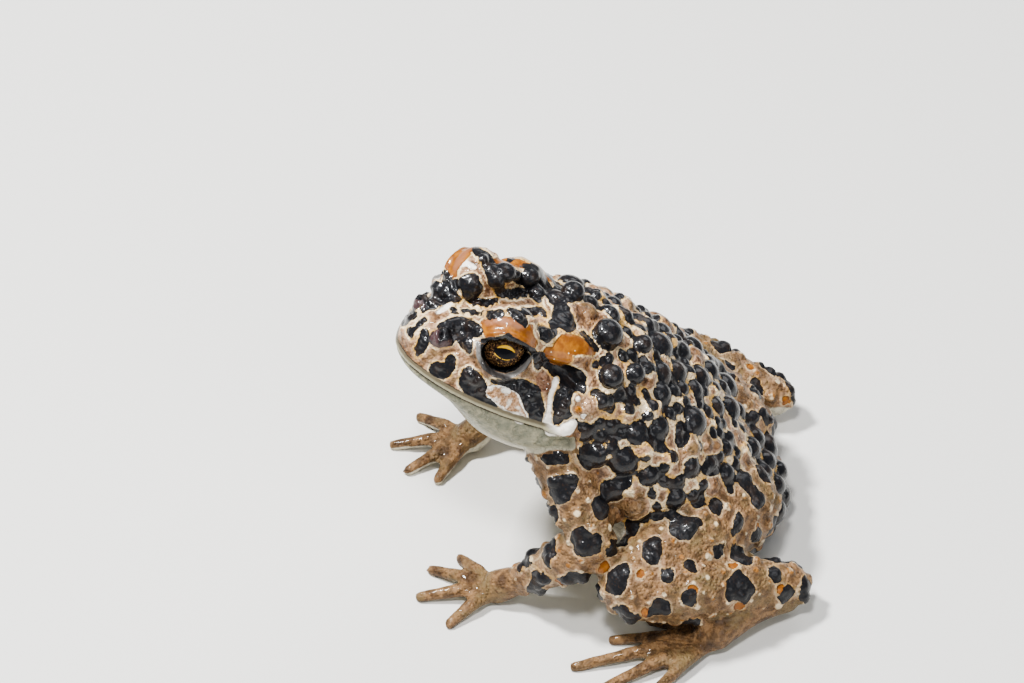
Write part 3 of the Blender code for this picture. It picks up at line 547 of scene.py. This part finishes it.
class Surface:
    """The points of a mesh as arrays, in metres, for shaping and painting."""

    def __init__(self, obj):
        self.mesh = obj.data
        self.co = self.read(self.mesh.vertices, "co")
        ends = np.empty(len(self.mesh.edges) * 2, dtype=np.int32)
        self.mesh.edges.foreach_get("vertices", ends)
        self.starts, self.ends = ends.reshape(-1, 2).T
        count = len(self.co)
        self.links = np.bincount(self.starts, minlength=count) + np.bincount(self.ends, minlength=count)
        self.normals = self.read(self.mesh.vertex_normals, "vector")

    def read(self, items, name):
        values = np.empty(len(items) * 3, dtype=np.float32)
        items.foreach_get(name, values)
        return values.reshape(-1, 3).astype(float)

    def blurred(self, values):
        """Mean of each point's neighbours."""
        columns = values.reshape(len(self.co), -1)
        sums = [np.bincount(self.starts, column[self.ends], len(self.co))
                + np.bincount(self.ends, column[self.starts], len(self.co)) for column in columns.T]
        return (np.stack(sums, axis=1) / self.links[:, None]).reshape(values.shape)

    def blur(self, values, times):
        for _ in range(times):
            values = (values + self.blurred(values)) / 2
        return values

    def soften(self, times, share=1.0):
        """Smooths the form without shrinking it, as much as the share at each point says."""
        share = np.broadcast_to(share, (len(self.co),))[:, None]
        for _ in range(times):
            for step in SOFTEN_STEPS:
                self.co += (self.blurred(self.co) - self.co) * step * share
        self.update()

    def update(self):
        self.mesh.vertices.foreach_set("co", self.co.astype(np.float32).ravel())
        self.mesh.update()
        self.normals = self.read(self.mesh.vertex_normals, "vector")

    def rise(self, height):
        """Moves each point along its normal by a height in millimetres."""
        self.co += self.normals * (height * MM)[:, None]
        self.update()

    def keep(self, name, values):
        """Stores a value at each point for the materials."""
        attribute = self.mesh.attributes.new(name, "FLOAT", "POINT")
        attribute.data.foreach_set("value", values.astype(np.float32))

    def tree(self):
        bm = bmesh.new()
        bm.from_mesh(self.mesh)
        made = BVHTree.FromBMesh(bm)
        bm.free()
        return made


class Marker:
    """Finds how deep each point of the skin lies in a mark that is drawn over the picture."""

    def __init__(self, surface):
        self.tree = surface.tree()
        both = (surface.co.copy(), other_side(surface.co))
        self.sides = [(points, PICTURE.places(points)) for points in both]

    def spots(self, table, mirrored=False):
        """The skin's points that show at the table's pixels, with their radii, and their mirror images."""
        hits = [self.tree.ray_cast(PICTURE.eye, PICTURE.ray(x, y))[0] for x, y, _ in table]
        found = [(np.array(hit), row[2]) for hit, row in zip(hits, table) if hit is not None]
        if mirrored:
            images = [(other_side(at[None])[0], radius) for at, radius in found]
            found += [(np.array(self.tree.find_nearest(at)[0]), radius) for at, radius in images]
        return found

    def depth(self, chain, mirrored=False):
        """Distance into the mark in millimetres, negative outside it."""
        anchors = self.spots(chain)
        best = np.full(len(self.sides[0][0]), OUTSIDE)
        for points, pixels in self.sides[:2 if mirrored else 1]:
            near = inside_spots(points, [(at, radius + MARK_REACH) for at, radius in anchors])
            flat = np.full(len(points), OUTSIDE)
            steps = list(zip(chain, chain[1:])) or [(chain[0], chain[0])]
            for (x0, y0, r0), (x1, y1, r1) in steps:
                start = np.array((x0, y0))
                way = np.array((x1 - x0, y1 - y0), dtype=float)
                along = np.clip((pixels - start) @ way / max(way @ way, 1e-6), 0, 1)
                gap = np.linalg.norm(pixels - start - along[:, None] * way, axis=1) / PIXELS_PER_MM
                flat = np.maximum(flat, r0 + (r1 - r0) * along - gap)
            best = np.maximum(best, np.minimum(flat, near))
        return best

    def all(self, marks, mirrored=False):
        return np.max([self.depth(chain, mirrored) for chain in marks.values()], axis=0)

    def both(self, single, doubled):
        return np.maximum(self.all(single), self.all(doubled, True))


def nearest_nodes(surface):
    """For each point, the name of the solid that it lies nearest to."""
    bm = bmesh.new()
    owners = []
    for name in FLESH:
        bm.from_mesh(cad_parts[name].data)
        owners += [name] * (len(bm.faces) - len(owners))
    tree = BVHTree.FromBMesh(bm)
    bm.free()
    return np.array([owners[tree.find_nearest(point)[2]] for point in surface.co])


def beyond_plane(points, first, second, axis):
    """Distance in mm from the plane through two points of the head's side view, positive along the axis."""
    side = in_head(points)[:, ::2] - first
    lean = math.atan2(first[axis] - second[axis], first[1 - axis] - second[1 - axis])
    return side[:, axis] * math.cos(lean) - side[:, 1 - axis] * math.sin(lean)


def mouth_level(points):
    """Height above the plane of the mouth."""
    return beyond_plane(points, MOUTH_FRONT, MOUTH_CORNER, 1)


def neck_distance(points):
    """Distance in front of the plane of the neck."""
    return beyond_plane(points, NECK_TOP, NECK_BOTTOM, 0)


def eye_axes(side):
    """Across, up and sight of an eye."""
    forward, left, up = HEAD_AXES
    out, tilt = math.radians(EYE_TOE_OUT), math.radians(EYE_TILT)
    sight = (forward * math.cos(out) + left * side * math.sin(out)) * math.cos(tilt) + up * math.sin(tilt)
    across = (forward - sight * forward.dot(sight)).normalized()
    return across, (up - sight * up.dot(sight) - across * up.dot(across)).normalized(), sight


def in_eye(points, side):
    """Across, up and along the sight of an eye, in millimetres, for each point."""
    return (points - np.array(EYES[side])) @ np.array(eye_axes(side)).T / MM


def inside_spots(points, spots):
    """How far each point lies inside the nearest round spot, in millimetres."""
    depth = np.full(len(points), OUTSIDE)
    for at, radius in spots:
        depth = np.maximum(depth, radius - np.linalg.norm(points - at, axis=1) / MM)
    return depth


def scatter(surface, allowed, draw, taken, count, radii, spacing):
    """Draws round spots on the allowed skin that keep apart from one another and from those taken."""
    places = np.array([at for at, _ in taken] + [FAR_AWAY])
    sizes = np.array([radius for _, radius in taken] + [0.0])
    made = []
    for index in draw.permutation(np.flatnonzero(allowed))[:count * TRIES]:
        if len(made) == count:
            break
        radius = draw.uniform(*radii)
        at = surface.co[index]
        if np.all(np.linalg.norm(places - at, axis=1) > (sizes + radius) * spacing * MM):
            made.append((at, radius))
            places = np.vstack((places, at))
            sizes = np.append(sizes, radius)
    return made


def raise_warts(surface, spots, shape=WART_SHAPE):
    """Raises a dome on each spot."""
    height = np.zeros(len(surface.co))
    for at, radius in spots:
        share = np.linalg.norm(surface.co - at, axis=1) / (radius * MM)
        dome = shape * radius * np.sqrt(np.clip(1 - share**2, 0, None))
        height = np.maximum(height, dome)
    surface.rise(height)


def wobble(surface, waves):
    """Uneven value for each point, as the sum of noises with a size and a height in millimetres."""
    total = np.zeros(len(surface.co))
    for size, height in waves:
        total += [height * noise.noise(Vector(point) / (size * MM)) for point in surface.co]
    return total


def shape_head(surface, marker):
    """Raises the mounds and warts, and sinks the hollows, that the picture shows."""
    height = np.zeros(len(surface.co))
    for forms, mirrored in ((HEAD_FORMS, False), (HEAD_FORM_PAIRS, True)):
        for top, chain in forms.values():
            widest = max(radius for _, _, radius in chain)
            low, high = (share * widest for share in FORM_EDGE)
            height += top * smooth_step(marker.depth(chain, mirrored), low, high)
    surface.rise(height)


def slide_lids(surface, marker):
    """Draws the edges of the lids down over the eyes."""
    for slide, chain in LID_SLIDES.values():
        share = smooth_step(marker.depth(chain, True), *SLIDE_EDGE)
        surface.co -= np.array(HEAD_AXES[2]) * (share * slide * MM)[:, None]
    surface.update()


def shape_mouth(surface):
    """Draws the line of the mouth and rounds the lip above it."""
    level = mouth_level(surface.co)
    front = smooth_step(neck_distance(surface.co), *LINE_START)
    depth, half = MOUTH_LINE
    groove = -depth * np.exp(-(level / half) ** 2) * front
    rise, middle, spread = UPPER_LIP
    lip = rise * np.exp(-((level - middle) / spread) ** 2) * front
    surface.rise(groove + lip)


def shape_nostrils(surface, marker):
    """Opens the nostrils and returns how far each point lies inside one."""
    pit = marker.depth(NOSTRIL_PIT, True)
    surface.rise(-NOSTRIL_DEPTH * smooth_step(pit, -NOSTRIL_EDGE, NOSTRIL_EDGE))
    return pit


def find_warts(surface, owners):
    """Places and sizes of the round warts that the solids of the trunk and limbs carry."""
    flat = surface.blur(surface.co, WART_BLUR)
    height = np.einsum("ij,ij->i", surface.co - flat, surface.normals) / MM
    height -= surface.blur(height, WART_BLUR)
    bare = np.isin(owners, HEAD_NODES) | np.isin(owners, DIGIT_NODES)
    free = ~bare & (height > WART_LEAST)
    warts = []
    for index in np.argsort(-height):
        if height[index] < WART_LEAST:
            break
        if free[index]:
            warts.append((surface.co[index], float(np.clip(height[index] * WART_SPREAD, *WART_RADII))))
            free &= np.linalg.norm(surface.co - surface.co[index], axis=1) > WART_APART * MM
    return warts


def on_limbs(owners):
    return ~np.isin(owners, ("torso", *HEAD_NODES))


def underside(surface, owners):
    """0 on the back and sides to 1 on the throat, the belly and the inside of the limbs."""
    calm = surface.blur(surface.normals, CALM_BLUR)
    calm /= np.linalg.norm(calm, axis=1)[:, None]
    share = smooth_step(calm @ np.array(BELLY_WAY), *BELLY_EDGE)
    inward, down = LIMB_WAY
    inside = -down * calm[:, 2] - inward * np.sign(surface.co[:, 0]) * calm[:, 0]
    share = np.where(on_limbs(owners), smooth_step(inside, *LIMB_EDGE), share)
    throat = smooth_step(-mouth_level(surface.co), *LIP_EDGE)
    return surface.blur(np.where(np.isin(owners, HEAD_NODES), throat, share), EDGE_BLUR)


def bare_skin():
    """One closed skin over the flesh solids, finer on the head and finest round the lids and nostrils."""
    obj = remesh(swollen_flesh())
    surface = Surface(obj)
    surface.soften(times=3)
    surface.rise(np.full(len(surface.co), -SWELL))
    refine(obj, head_is_near)
    refine(obj, lids_are_near)
    return obj


def head_marks(marker, level, front):
    """How deep each point lies in each kind of mark that the picture shows, with black clear of pale."""
    marks = {name: marker.all(chains, True) for name, chains in OTHER_MARKS.items()}
    marks["rust"] = marker.both(RUST_MARKS, RUST_PAIRS)
    marks["pale"] = marker.both(PAINTED_HIGHLIGHTS, PALE_PAIRS)
    for tint, chains in CORNER_WARTS.items():
        marks[tint + "_wart"] = marker.all(chains, True)
    black = marker.both(BLACK_MARKS, BLACK_PAIRS)
    black = np.minimum(black, -PALE_GAP - np.maximum(marks["pale"], marks["pink"]))
    black = np.minimum(black, -CORNER_GAP - corner_depth(marks))
    marks["black"] = np.where((front > 0) & (level < 0), np.minimum(black, level * 4), black)
    return marks


def corner_depth(marks):
    """How deep each point lies in the warts behind the corner of the mouth."""
    return np.max([marks[tint + "_wart"] for tint in CORNER_WARTS], axis=0)


def stain_depth(surface, blotches, dark, uneven, marks, under):
    """How deep each point lies in the black of the trunk and limbs, which stops short of the underside."""
    wide = [(at, radius + DOME_MARGIN) for at, radius in dark]
    domes = inside_spots(surface.co, wide) + uneven * DOME_UNEVEN
    depth = np.maximum(inside_spots(surface.co, blotches) + uneven, domes)
    depth = np.minimum(depth, -CORNER_GAP - corner_depth(marks))
    return surface.blur(np.minimum(depth, STAIN_FADE * (STAIN_END - under)), times=2)


def make_skin():
    """The whole skin, shaped and with the values that its material reads."""
    obj = bare_skin()
    surface = Surface(obj)
    surface.soften(times=2)
    draw = np.random.default_rng(MARK_SEED)
    owners = nearest_nodes(surface)
    under = underside(surface, owners)
    carried = find_warts(surface, owners)
    first = Marker(surface)
    slide_lids(surface, first)
    shape_head(surface, first)
    marker = Marker(surface)
    level = mouth_level(surface.co)
    front = smooth_step(neck_distance(surface.co), *FRONT_START)
    marks = head_marks(marker, level, front)

    back = under < BACK_SHARE
    clear = (marks["black"] < -DRAWN_GAP) & (marks["rust"] < -DRAWN_GAP)
    trunk = (owners == "torso") & back & clear
    digits = np.isin(owners, DIGIT_NODES) & back
    limbs = on_limbs(owners) & ~np.isin(owners, DIGIT_NODES) & back
    crown = np.isin(owners, HEAD_NODES) & (level > CROWN_LEVEL)
    for name, gap in CROWN_GAPS.items():
        crown &= marks[name] < -gap

    def strew(allowed, taken, kind):
        return scatter(surface, allowed, draw, taken, *kind)

    placed = marker.spots(HEAD_WARTS)
    warts = carried + placed
    warts += strew(trunk, warts, BACK_DOMES)
    warts += strew(trunk, warts, BACK_WARTS)
    small = strew(trunk, warts, BACK_GRAINS)
    small += strew(limbs, warts, LIMB_WARTS)
    crown_grains = strew(marker.all(CROWN_MARKS) > 0, [], CROWN_GRAINS)
    blotches = strew(trunk, [], BACK_BLOTCHES)
    blotches += strew(limbs, [], LIMB_BLOTCHES)
    uneven = wobble(surface, BLOTCH_WOBBLE)
    dots = inside_spots(surface.co, strew(digits, [], DIGIT_BLOTCHES)) + uneven * DIGIT_UNEVEN
    dark = placed + [spot for spot in warts if draw.random() < BLACK_SHARE]
    stained = stain_depth(surface, blotches, dark, uneven, marks, under)
    rusty = inside_spots(surface.co, strew(trunk | limbs, dark, RUST_SPOTS))
    head_grains = strew(crown, [], HEAD_GRAINS)

    pit = shape_nostrils(surface, marker)
    raise_warts(surface, warts[len(carried):] + small)
    raise_warts(surface, marker.spots(CHEEK_WARTS, True), CHEEK_WART_SHAPE)
    for chains in CORNER_WARTS.values():
        raise_warts(surface, marker.spots(sum(chains.values(), ()), True), CORNER_WART_SHAPE)
    raise_warts(surface, crown_grains, CROWN_GRAIN_SHAPE)
    raise_warts(surface, head_grains, HEAD_GRAIN_SHAPE)
    raised = smooth_step(stained, *BLOTCH_EDGE) * surface.blur(limbs, times=3)
    surface.rise(BLOTCH_RISE * raised)
    shape_mouth(surface)
    surface.soften(times=1, share=0.5)
    surface.co[:, 2] = np.maximum(surface.co[:, 2], 0)
    surface.update()

    throat = np.isin(owners, HEAD_NODES) * smooth_step(level, *THROAT_EDGE)
    stained = np.where(limbs | (owners == "torso"), stained, OUTSIDE)
    marks.update(
        black=np.maximum(marks["black"], stained),
        rust=np.maximum(marks["rust"], rusty),
        smudge=np.where(digits, dots, OUTSIDE),
        tip=inside_spots(surface.co, small),
        pit=pit,
        under=under,
        limb=surface.blur(on_limbs(owners), EDGE_BLUR),
        throat=surface.blur(throat, THROAT_BLUR),
        lip=np.where(front > 0, level, -OUTSIDE),
        front=front,
        lip_share=smooth_step(neck_distance(surface.co), *LIP_START),
    )
    for name, values in marks.items():
        surface.keep(name, values)
    drop_voids(obj)
    return obj


def math_node(operation):
    """A method that joins a value and another number in a Math node."""
    return lambda first, second: first.look.node("Math", {"operation": operation}, {0: first, 1: second})


class Value:
    """A number that varies over a surface. Sums and products of it add Math nodes, and over is the larger."""

    __add__ = __radd__ = math_node("ADD")
    __mul__ = __rmul__ = math_node("MULTIPLY")
    __sub__ = math_node("SUBTRACT")
    __pow__ = math_node("POWER")
    over = math_node("MAXIMUM")

    def __init__(self, look, socket):
        self.look = look
        self.socket = socket

    def __rsub__(self, other):
        return self.look.node("Math", {"operation": "SUBTRACT"}, {0: other, 1: self})


class Look:
    """A material in the making, with the colour painted so far and the wander of the edges of marks."""

    def __init__(self, name, colour):
        self.material = bpy.data.materials.new(name)
        self.material.use_nodes = True
        self.tree = self.material.node_tree
        self.shader = self.tree.nodes["Principled BSDF"]
        self.place = self.node("TexCoord", output="Object")
        self.colour = colour
        self.wander = 0.0

    def node(self, kind, settings=None, inputs=None, output=0):
        """Adds a node of that type and returns one of its outputs."""
        made = self.tree.nodes.new("ShaderNode" + kind)
        for name, value in (settings or {}).items():
            setattr(made, name, value)
        for name, value in (inputs or {}).items():
            self.connect(made.inputs[name], value)
        return Value(self, made.outputs[output])

    def connect(self, socket, value):
        if isinstance(value, Value):
            self.tree.links.new(value.socket, socket)
        elif isinstance(value, str):
            socket.default_value = (*COLOURS[value], 1.0)
        else:
            socket.default_value = value

    def kept(self, name, bend=0.0):
        """A value that the mesh keeps, with that share of the wander added."""
        value = self.node("Attribute", {"attribute_name": name}, output="Fac")
        return value + self.wander * bend if bend else value

    def mark(self, name, low, high, bend=0.0):
        """The step of a kept value."""
        return self.step(self.kept(name, bend), low, high)

    def noise(self, size, detail=2.0, place=None):
        """Noise from 0 to 1, with cells of about that size in millimetres."""
        inputs = {"Vector": place or self.place, "Scale": 1 / (size * MM), "Detail": detail}
        return self.node("TexNoise", None, inputs, "Fac")

    def cells(self, size):
        """Distance from the middle of cells of that size, as a share of the size."""
        return self.node("TexVoronoi", None, {"Vector": self.place, "Scale": 1 / (size * MM)}, "Distance")

    def bent_place(self, size, reach):
        """The place, moved unevenly by up to a reach in millimetres."""
        uneven = self.node("TexNoise", None, {"Vector": self.place, "Scale": 1 / (size * MM)}, "Color")
        drift = self.node("VectorMath", {"operation": "MULTIPLY_ADD"},
                          {0: uneven, 1: (reach * MM,) * 3, 2: (-reach * MM / 2,) * 3})
        return self.node("VectorMath", {"operation": "ADD"}, {0: self.place, 1: drift})

    def step(self, value, low, high):
        """0 below low, 1 above high and smooth between."""
        inputs = {"Value": value, "From Min": low, "From Max": high}
        return self.node("MapRange", {"interpolation_type": "SMOOTHSTEP"}, inputs)

    def mix(self, share, first, second):
        """Goes from the first colour to the second."""
        return self.node("Mix", {"data_type": "RGBA"}, {0: share, 6: first, 7: second}, 2)

    def paint(self, share, colour):
        """Lays a share of a colour over what is painted so far."""
        self.colour = self.mix(share, self.colour, colour)

    def finish(self, **outputs):
        """Hands the painted colour and the other inputs to the shader."""
        for name, value in {"base_color": self.colour, **outputs}.items():
            title = name.replace("_", " ").title().replace("Ior", "IOR")
            self.connect(self.shader.inputs[title], value)
        return self.material


def skin_look():
    """Wet skin: brown ground, cream-edged black and rust marks, pale throat."""
    look = Look("wet_skin", "tan")
    step, mix, paint, noise, kept, mark = look.step, look.mix, look.paint, look.noise, look.kept, look.mark
    limb = kept("limb")
    wander = (noise(1.2) - 0.5) * 0.5 + (noise(0.4, 3.0) - 0.5) * 0.35
    look.wander = wander + (noise(2.6, 3.0) - 0.5) * limb * 1.2
    black = kept("black", 1.0)
    rust = kept("rust", 1.0)
    pale = kept("pale", 0.6)
    marks = black.over(rust)
    under = mark("under", 0.4, 0.62, 0.35)
    mottle = noise(1.1, 4.0)
    patches = noise(2.2, 3.0)
    speck = noise(0.3, 3.0)

    # Ground between the marks, and their pale edges
    paint(step(mottle, 0.42, 0.6), "brown")
    paint((step(noise(5.0, 3.0), 0.45, 0.65) + limb * 0.5) * 0.65, "olive")
    near = step(marks + (noise(0.9, 3.0) - 0.5) * 1.4, -0.8, -0.3)
    paint(near * (0.8 - limb * 0.5), "pink")
    paint(step(noise(0.7, 4.0), 0.5, 0.68) * 0.6, "brown")
    paint(mark("tip", 0.2, 0.5, 0.4) * 0.6, mix(step(patches, 0.45, 0.58), "cream", "orange"))
    edge = step(marks + (noise(1.5) - 0.5) * 0.4, -0.36, -0.16)
    paint(edge * (0.95 - limb * 0.7), mix(step(patches, 0.46, 0.6), "cream", "ochre"))
    paint(step(marks, -0.2, -0.08) * (0.5 - limb * 0.3), "ochre")
    paint(mark("smudge", -0.5, 0.4, 1.0) * 0.75, "umber")

    # Underside
    folds = noise(3.0, place=look.bent_place(4.0, 2.5))
    crease = (1 - step((folds - 0.5) * (folds - 0.5), 0.0, 0.001)) * under
    # The throat colour is partly painted shade under the jaw
    throat = mix(step(mottle, 0.3, 0.8) * 0.25, "throat", "cream")
    throat = mix(crease * 0.3, throat, "crease")
    belly = mix(step(mottle + (patches - 0.5) * 0.6, 0.4, 0.7) * 0.55, "belly", "belly_grey")
    paint(under, mix(mark("throat", 0.0, 1.0, 0.3), belly, throat))

    # Pink, white, rust and the ear
    pinks = mix(step(speck, 0.4, 0.6), "pink", "tan")
    pinks = mix(step(mottle, 0.5, 0.64) * 0.6, pinks, "white")
    paint(mark("pink", -0.32, -0.15, 1.3), "white")
    paint(mark("pink", -0.02, 0.12, 1.3), pinks)
    # Pale marks: the toad's own white stripe, corner and margins, and painted highlights on the crown, the
    # far lid and the cheek
    paint(step(pale, -0.06, 0.06), mix(step(mottle, 0.5, 0.66) * 0.35, "white", "pink"))
    gland = mark("gland", 0.1, 0.4)
    reds = mix(step(mottle, 0.35, 0.7), "rust", "orange")
    # Rose mottles the rust at random; on the top of the lid it is a painted sheen
    rosy = mark("rose_and_sheen", -0.3, 0.35, 1.0).over(step(patches, 0.5, 0.64) * (0.35 - gland * 0.3))
    paint(step(rust, -0.05, 0.05), mix(rosy * 0.8, reds, "rose_and_sheen"))
    # Pale pores of the gland: partly their own pale colour, partly painted highlights of the wet pores
    pale_pores_and_glints = 1 - step(look.cells(0.95), 0.07, 0.14)
    paint(pale_pores_and_glints * gland, "cream")
    ear = mix(step(speck, 0.35, 0.65), "brown", "ear")
    paint(mark("ear", -0.05, 0.1), mix(step(mottle, 0.45, 0.6) * 0.3, ear, "pink"))

    # Black, rim of the nostril and warts behind the mouth
    is_black = step(black, -0.04, 0.05)
    faded = step(speck, 0.58, 0.7) * 0.5 + step(patches, 0.5, 0.65) * 0.25
    paint(is_black, mix(faded, "black", "umber"))
    # Violet-brown mound round the nostril, with a painted sheen below it
    paint(mark("nostril_ring", -0.2, 0.25, 1.0) * 0.9, "violet")
    for tint in CORNER_WARTS:
        paint(mark(tint + "_wart", -0.05, 0.1), tint)

    # Lip, mouth, lids and nostril
    # Upper lip band, darker towards the cheek, partly with painted shade
    band = mark("lip", 0.0, 0.15) * (1 - mark("lip", 1.15, 1.35, 0.4)) * kept("lip_share")
    paint(band, mix(mark("lip", 0.55, 0.95, 0.3), "lip", "lip_dark_and_shade"))
    # The mouth line is painted shade along the groove of the mouth
    line = mark("lip", -0.22, -0.08) * (1 - mark("lip", 0.02, 0.14)) * kept("front")
    paint(line * 0.85, "umber")
    ring = mark("lid_ring", -0.1, 0.1)
    # The lid ring, darker at its bottom with painted shade
    paint(ring, mix(mark("lid_shade", -0.25, 0.35, 0.6) * 0.85, "lid_grey", "lid_painted_shade"))
    # Painted shade: the nostril opening is painted black
    pit = mark("pit", -0.1, 0.04)
    # Black lid edges, the upper one partly painted shadow under the lid
    paint(pit.over(mark("lid_rim_and_shadow", -0.1, 0.05)), "black")

    # Grain and gloss
    grains = 1 - step(look.cells(0.55), 0.1, 0.65)
    smooth = step(rust.over(pale), -0.1, 0.2).over(ring).over(band)
    calm = (1.4 - smooth * 1.2) * (1 - under * 0.3) * (1 - is_black * 0.7)
    height = (grains + noise(0.2, 4.0) * 0.4 + mottle * 2.0) * calm - crease * 0.9
    rough = 0.42 - is_black * 0.1 + speck * 0.12 + limb * 0.1
    wet = (0.55 + is_black * 0.15) * (1 - pit) * (1 - limb * 0.5) * (1 - under * 0.5)
    bump = look.node("Bump", None, {"Height": height, "Distance": GRAIN_DEPTH * MM, "Strength": 1.0})
    return look.finish(roughness=rough, specular_ior_level=0.25, coat_weight=wet, coat_roughness=0.06,
                       coat_ior=1.42, normal=bump)


def eye_look():
    """Dark iris flecked with copper and gold, a lens of a pupil and gold lines above and below it."""
    look = Look("wet_eye", "iris")
    step, paint, noise = look.step, look.paint, look.noise
    across, up = look.kept("across"), look.kept("up")
    wander = (noise(0.5) - 0.5) * 0.25
    middle = across - IRIS_FORWARD
    reach = (middle * middle + up * up) ** 0.5 + wander
    outer = step(reach, 0.9, 2.2)
    paint(step(noise(0.3, 3.0) + outer * 0.05, 0.48, 0.62), "copper")
    paint(step(noise(0.24) + outer * 0.07, 0.64, 0.72), "bronze")
    paint(step(up, 1.0, 2.0) * 0.5, "copper")
    paint(step(reach, IRIS_RADIUS - 0.4, IRIS_RADIUS - 0.15), "black")

    along, level = across - PUPIL_AT[0], up - PUPIL_AT[1]
    tall = ((level * level) ** 0.5 * (1 / PUPIL_RADII[1])) ** 1.5
    lens = tall + along * along * (1 / PUPIL_RADII[0] ** 2) + wander * 0.2
    above = step(lens, 0.98, 1.06) * (1 - step(lens + along * along * 0.5, 1.8, 2.1))
    above = above * step(level, 0.1, 0.25) * (1 - step(along * along, 1.3, 1.7))
    below = step(lens, 1.04, 1.12) * (1 - step(lens, 1.25, 1.4)) * (1 - step(level, -0.3, -0.15))
    gap = step((along - GOLD_GAP) * (along - GOLD_GAP), 0.006, 0.02)
    ends = step(along, -0.95, -0.8) * (1 - step(along, 1.25, 1.4))
    paint(above.over(below * gap * ends), "gold")
    paint(1 - step(lens, 0.95, 1.01), "black")
    return look.finish(roughness=0.25, specular_ior_level=0.03, coat_weight=0.35, coat_roughness=0.02,
                       coat_ior=1.34)


def make_eye(side, look):
    """A ball with a low clear bulge in front, which takes the place of the plain one."""
    name = "left" if side > 0 else "right"
    across, up, sight = eye_axes(side)
    bm = bmesh.new()
    around, along = EYE_SEGMENTS
    bmesh.ops.create_uvsphere(bm, u_segments=around, v_segments=along, radius=EYE_RADIUS * MM)
    for vert in bm.verts:
        front = max(vert.co.z / (EYE_RADIUS * MM) - CORNEA_START, 0.0) / CORNEA_REACH
        vert.co.z += CORNEA_RISE * MM * front
    turn = Matrix((across, up, sight)).transposed().to_4x4()
    bmesh.ops.transform(bm, matrix=Matrix.Translation(EYES[side]) @ turn, verts=bm.verts)
    bmesh.ops.recalc_face_normals(bm, faces=bm.faces)
    obj = from_bmesh(bm, "toad_eye_" + name)
    surface = Surface(obj)
    x, y, ahead = in_eye(surface.co, side).T
    c, s = math.cos(math.radians(PUPIL_SLOPE)), math.sin(math.radians(PUPIL_SLOPE))
    surface.keep("across", np.where(ahead > 0, x * c + y * s, -OUTSIDE))
    surface.keep("up", y * c - x * s)
    obj.data.materials.append(look)
    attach(obj, BODY)
    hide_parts("eye_" + name)


def make_floor():
    bm = bmesh.new()
    bmesh.ops.create_grid(bm, x_segments=1, y_segments=1, size=FLOOR_HALF)
    bmesh.ops.translate(bm, vec=(0, 0, -FLOOR_DROP * MM), verts=bm.verts)
    floor = from_bmesh(bm, "floor")
    floor.data.materials.append(Look("pale_floor", "floor").finish(roughness=0.8))


def make_lamp(name, azimuth, elevation, distance, size, power):
    """Square soft lamp that faces the toad."""
    way = axes(azimuth, elevation)[0]
    data = bpy.data.lights.new(name, "AREA")
    data.size = size
    data.energy = power
    place = HEAD_MIDDLE + way * distance
    turn = way.to_track_quat("Z", "Y").to_matrix().to_4x4()
    link(name, data).matrix_world = Matrix.Translation(place) @ turn


def make_studio():
    """Floor, lamps and a pale surrounding."""
    make_floor()
    for name, lamp in LAMPS.items():
        make_lamp(name, *lamp)
    world = bpy.data.worlds.new("studio")
    world.use_nodes = True
    sky = world.node_tree.nodes["Background"].inputs
    sky["Color"].default_value = SKY_COLOUR
    sky["Strength"].default_value = SKY_STRENGTH
    bpy.context.scene.world = world
    bpy.context.scene.view_settings.look = "AgX - Medium High Contrast"


skin = make_skin()
skin.data.materials.clear()
skin.data.materials.append(skin_look())
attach(skin, BODY)
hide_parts(*FLESH)
eye = eye_look()
for eye_side in EYES:
    make_eye(eye_side, eye)
PICTURE.make_camera()
make_studio()
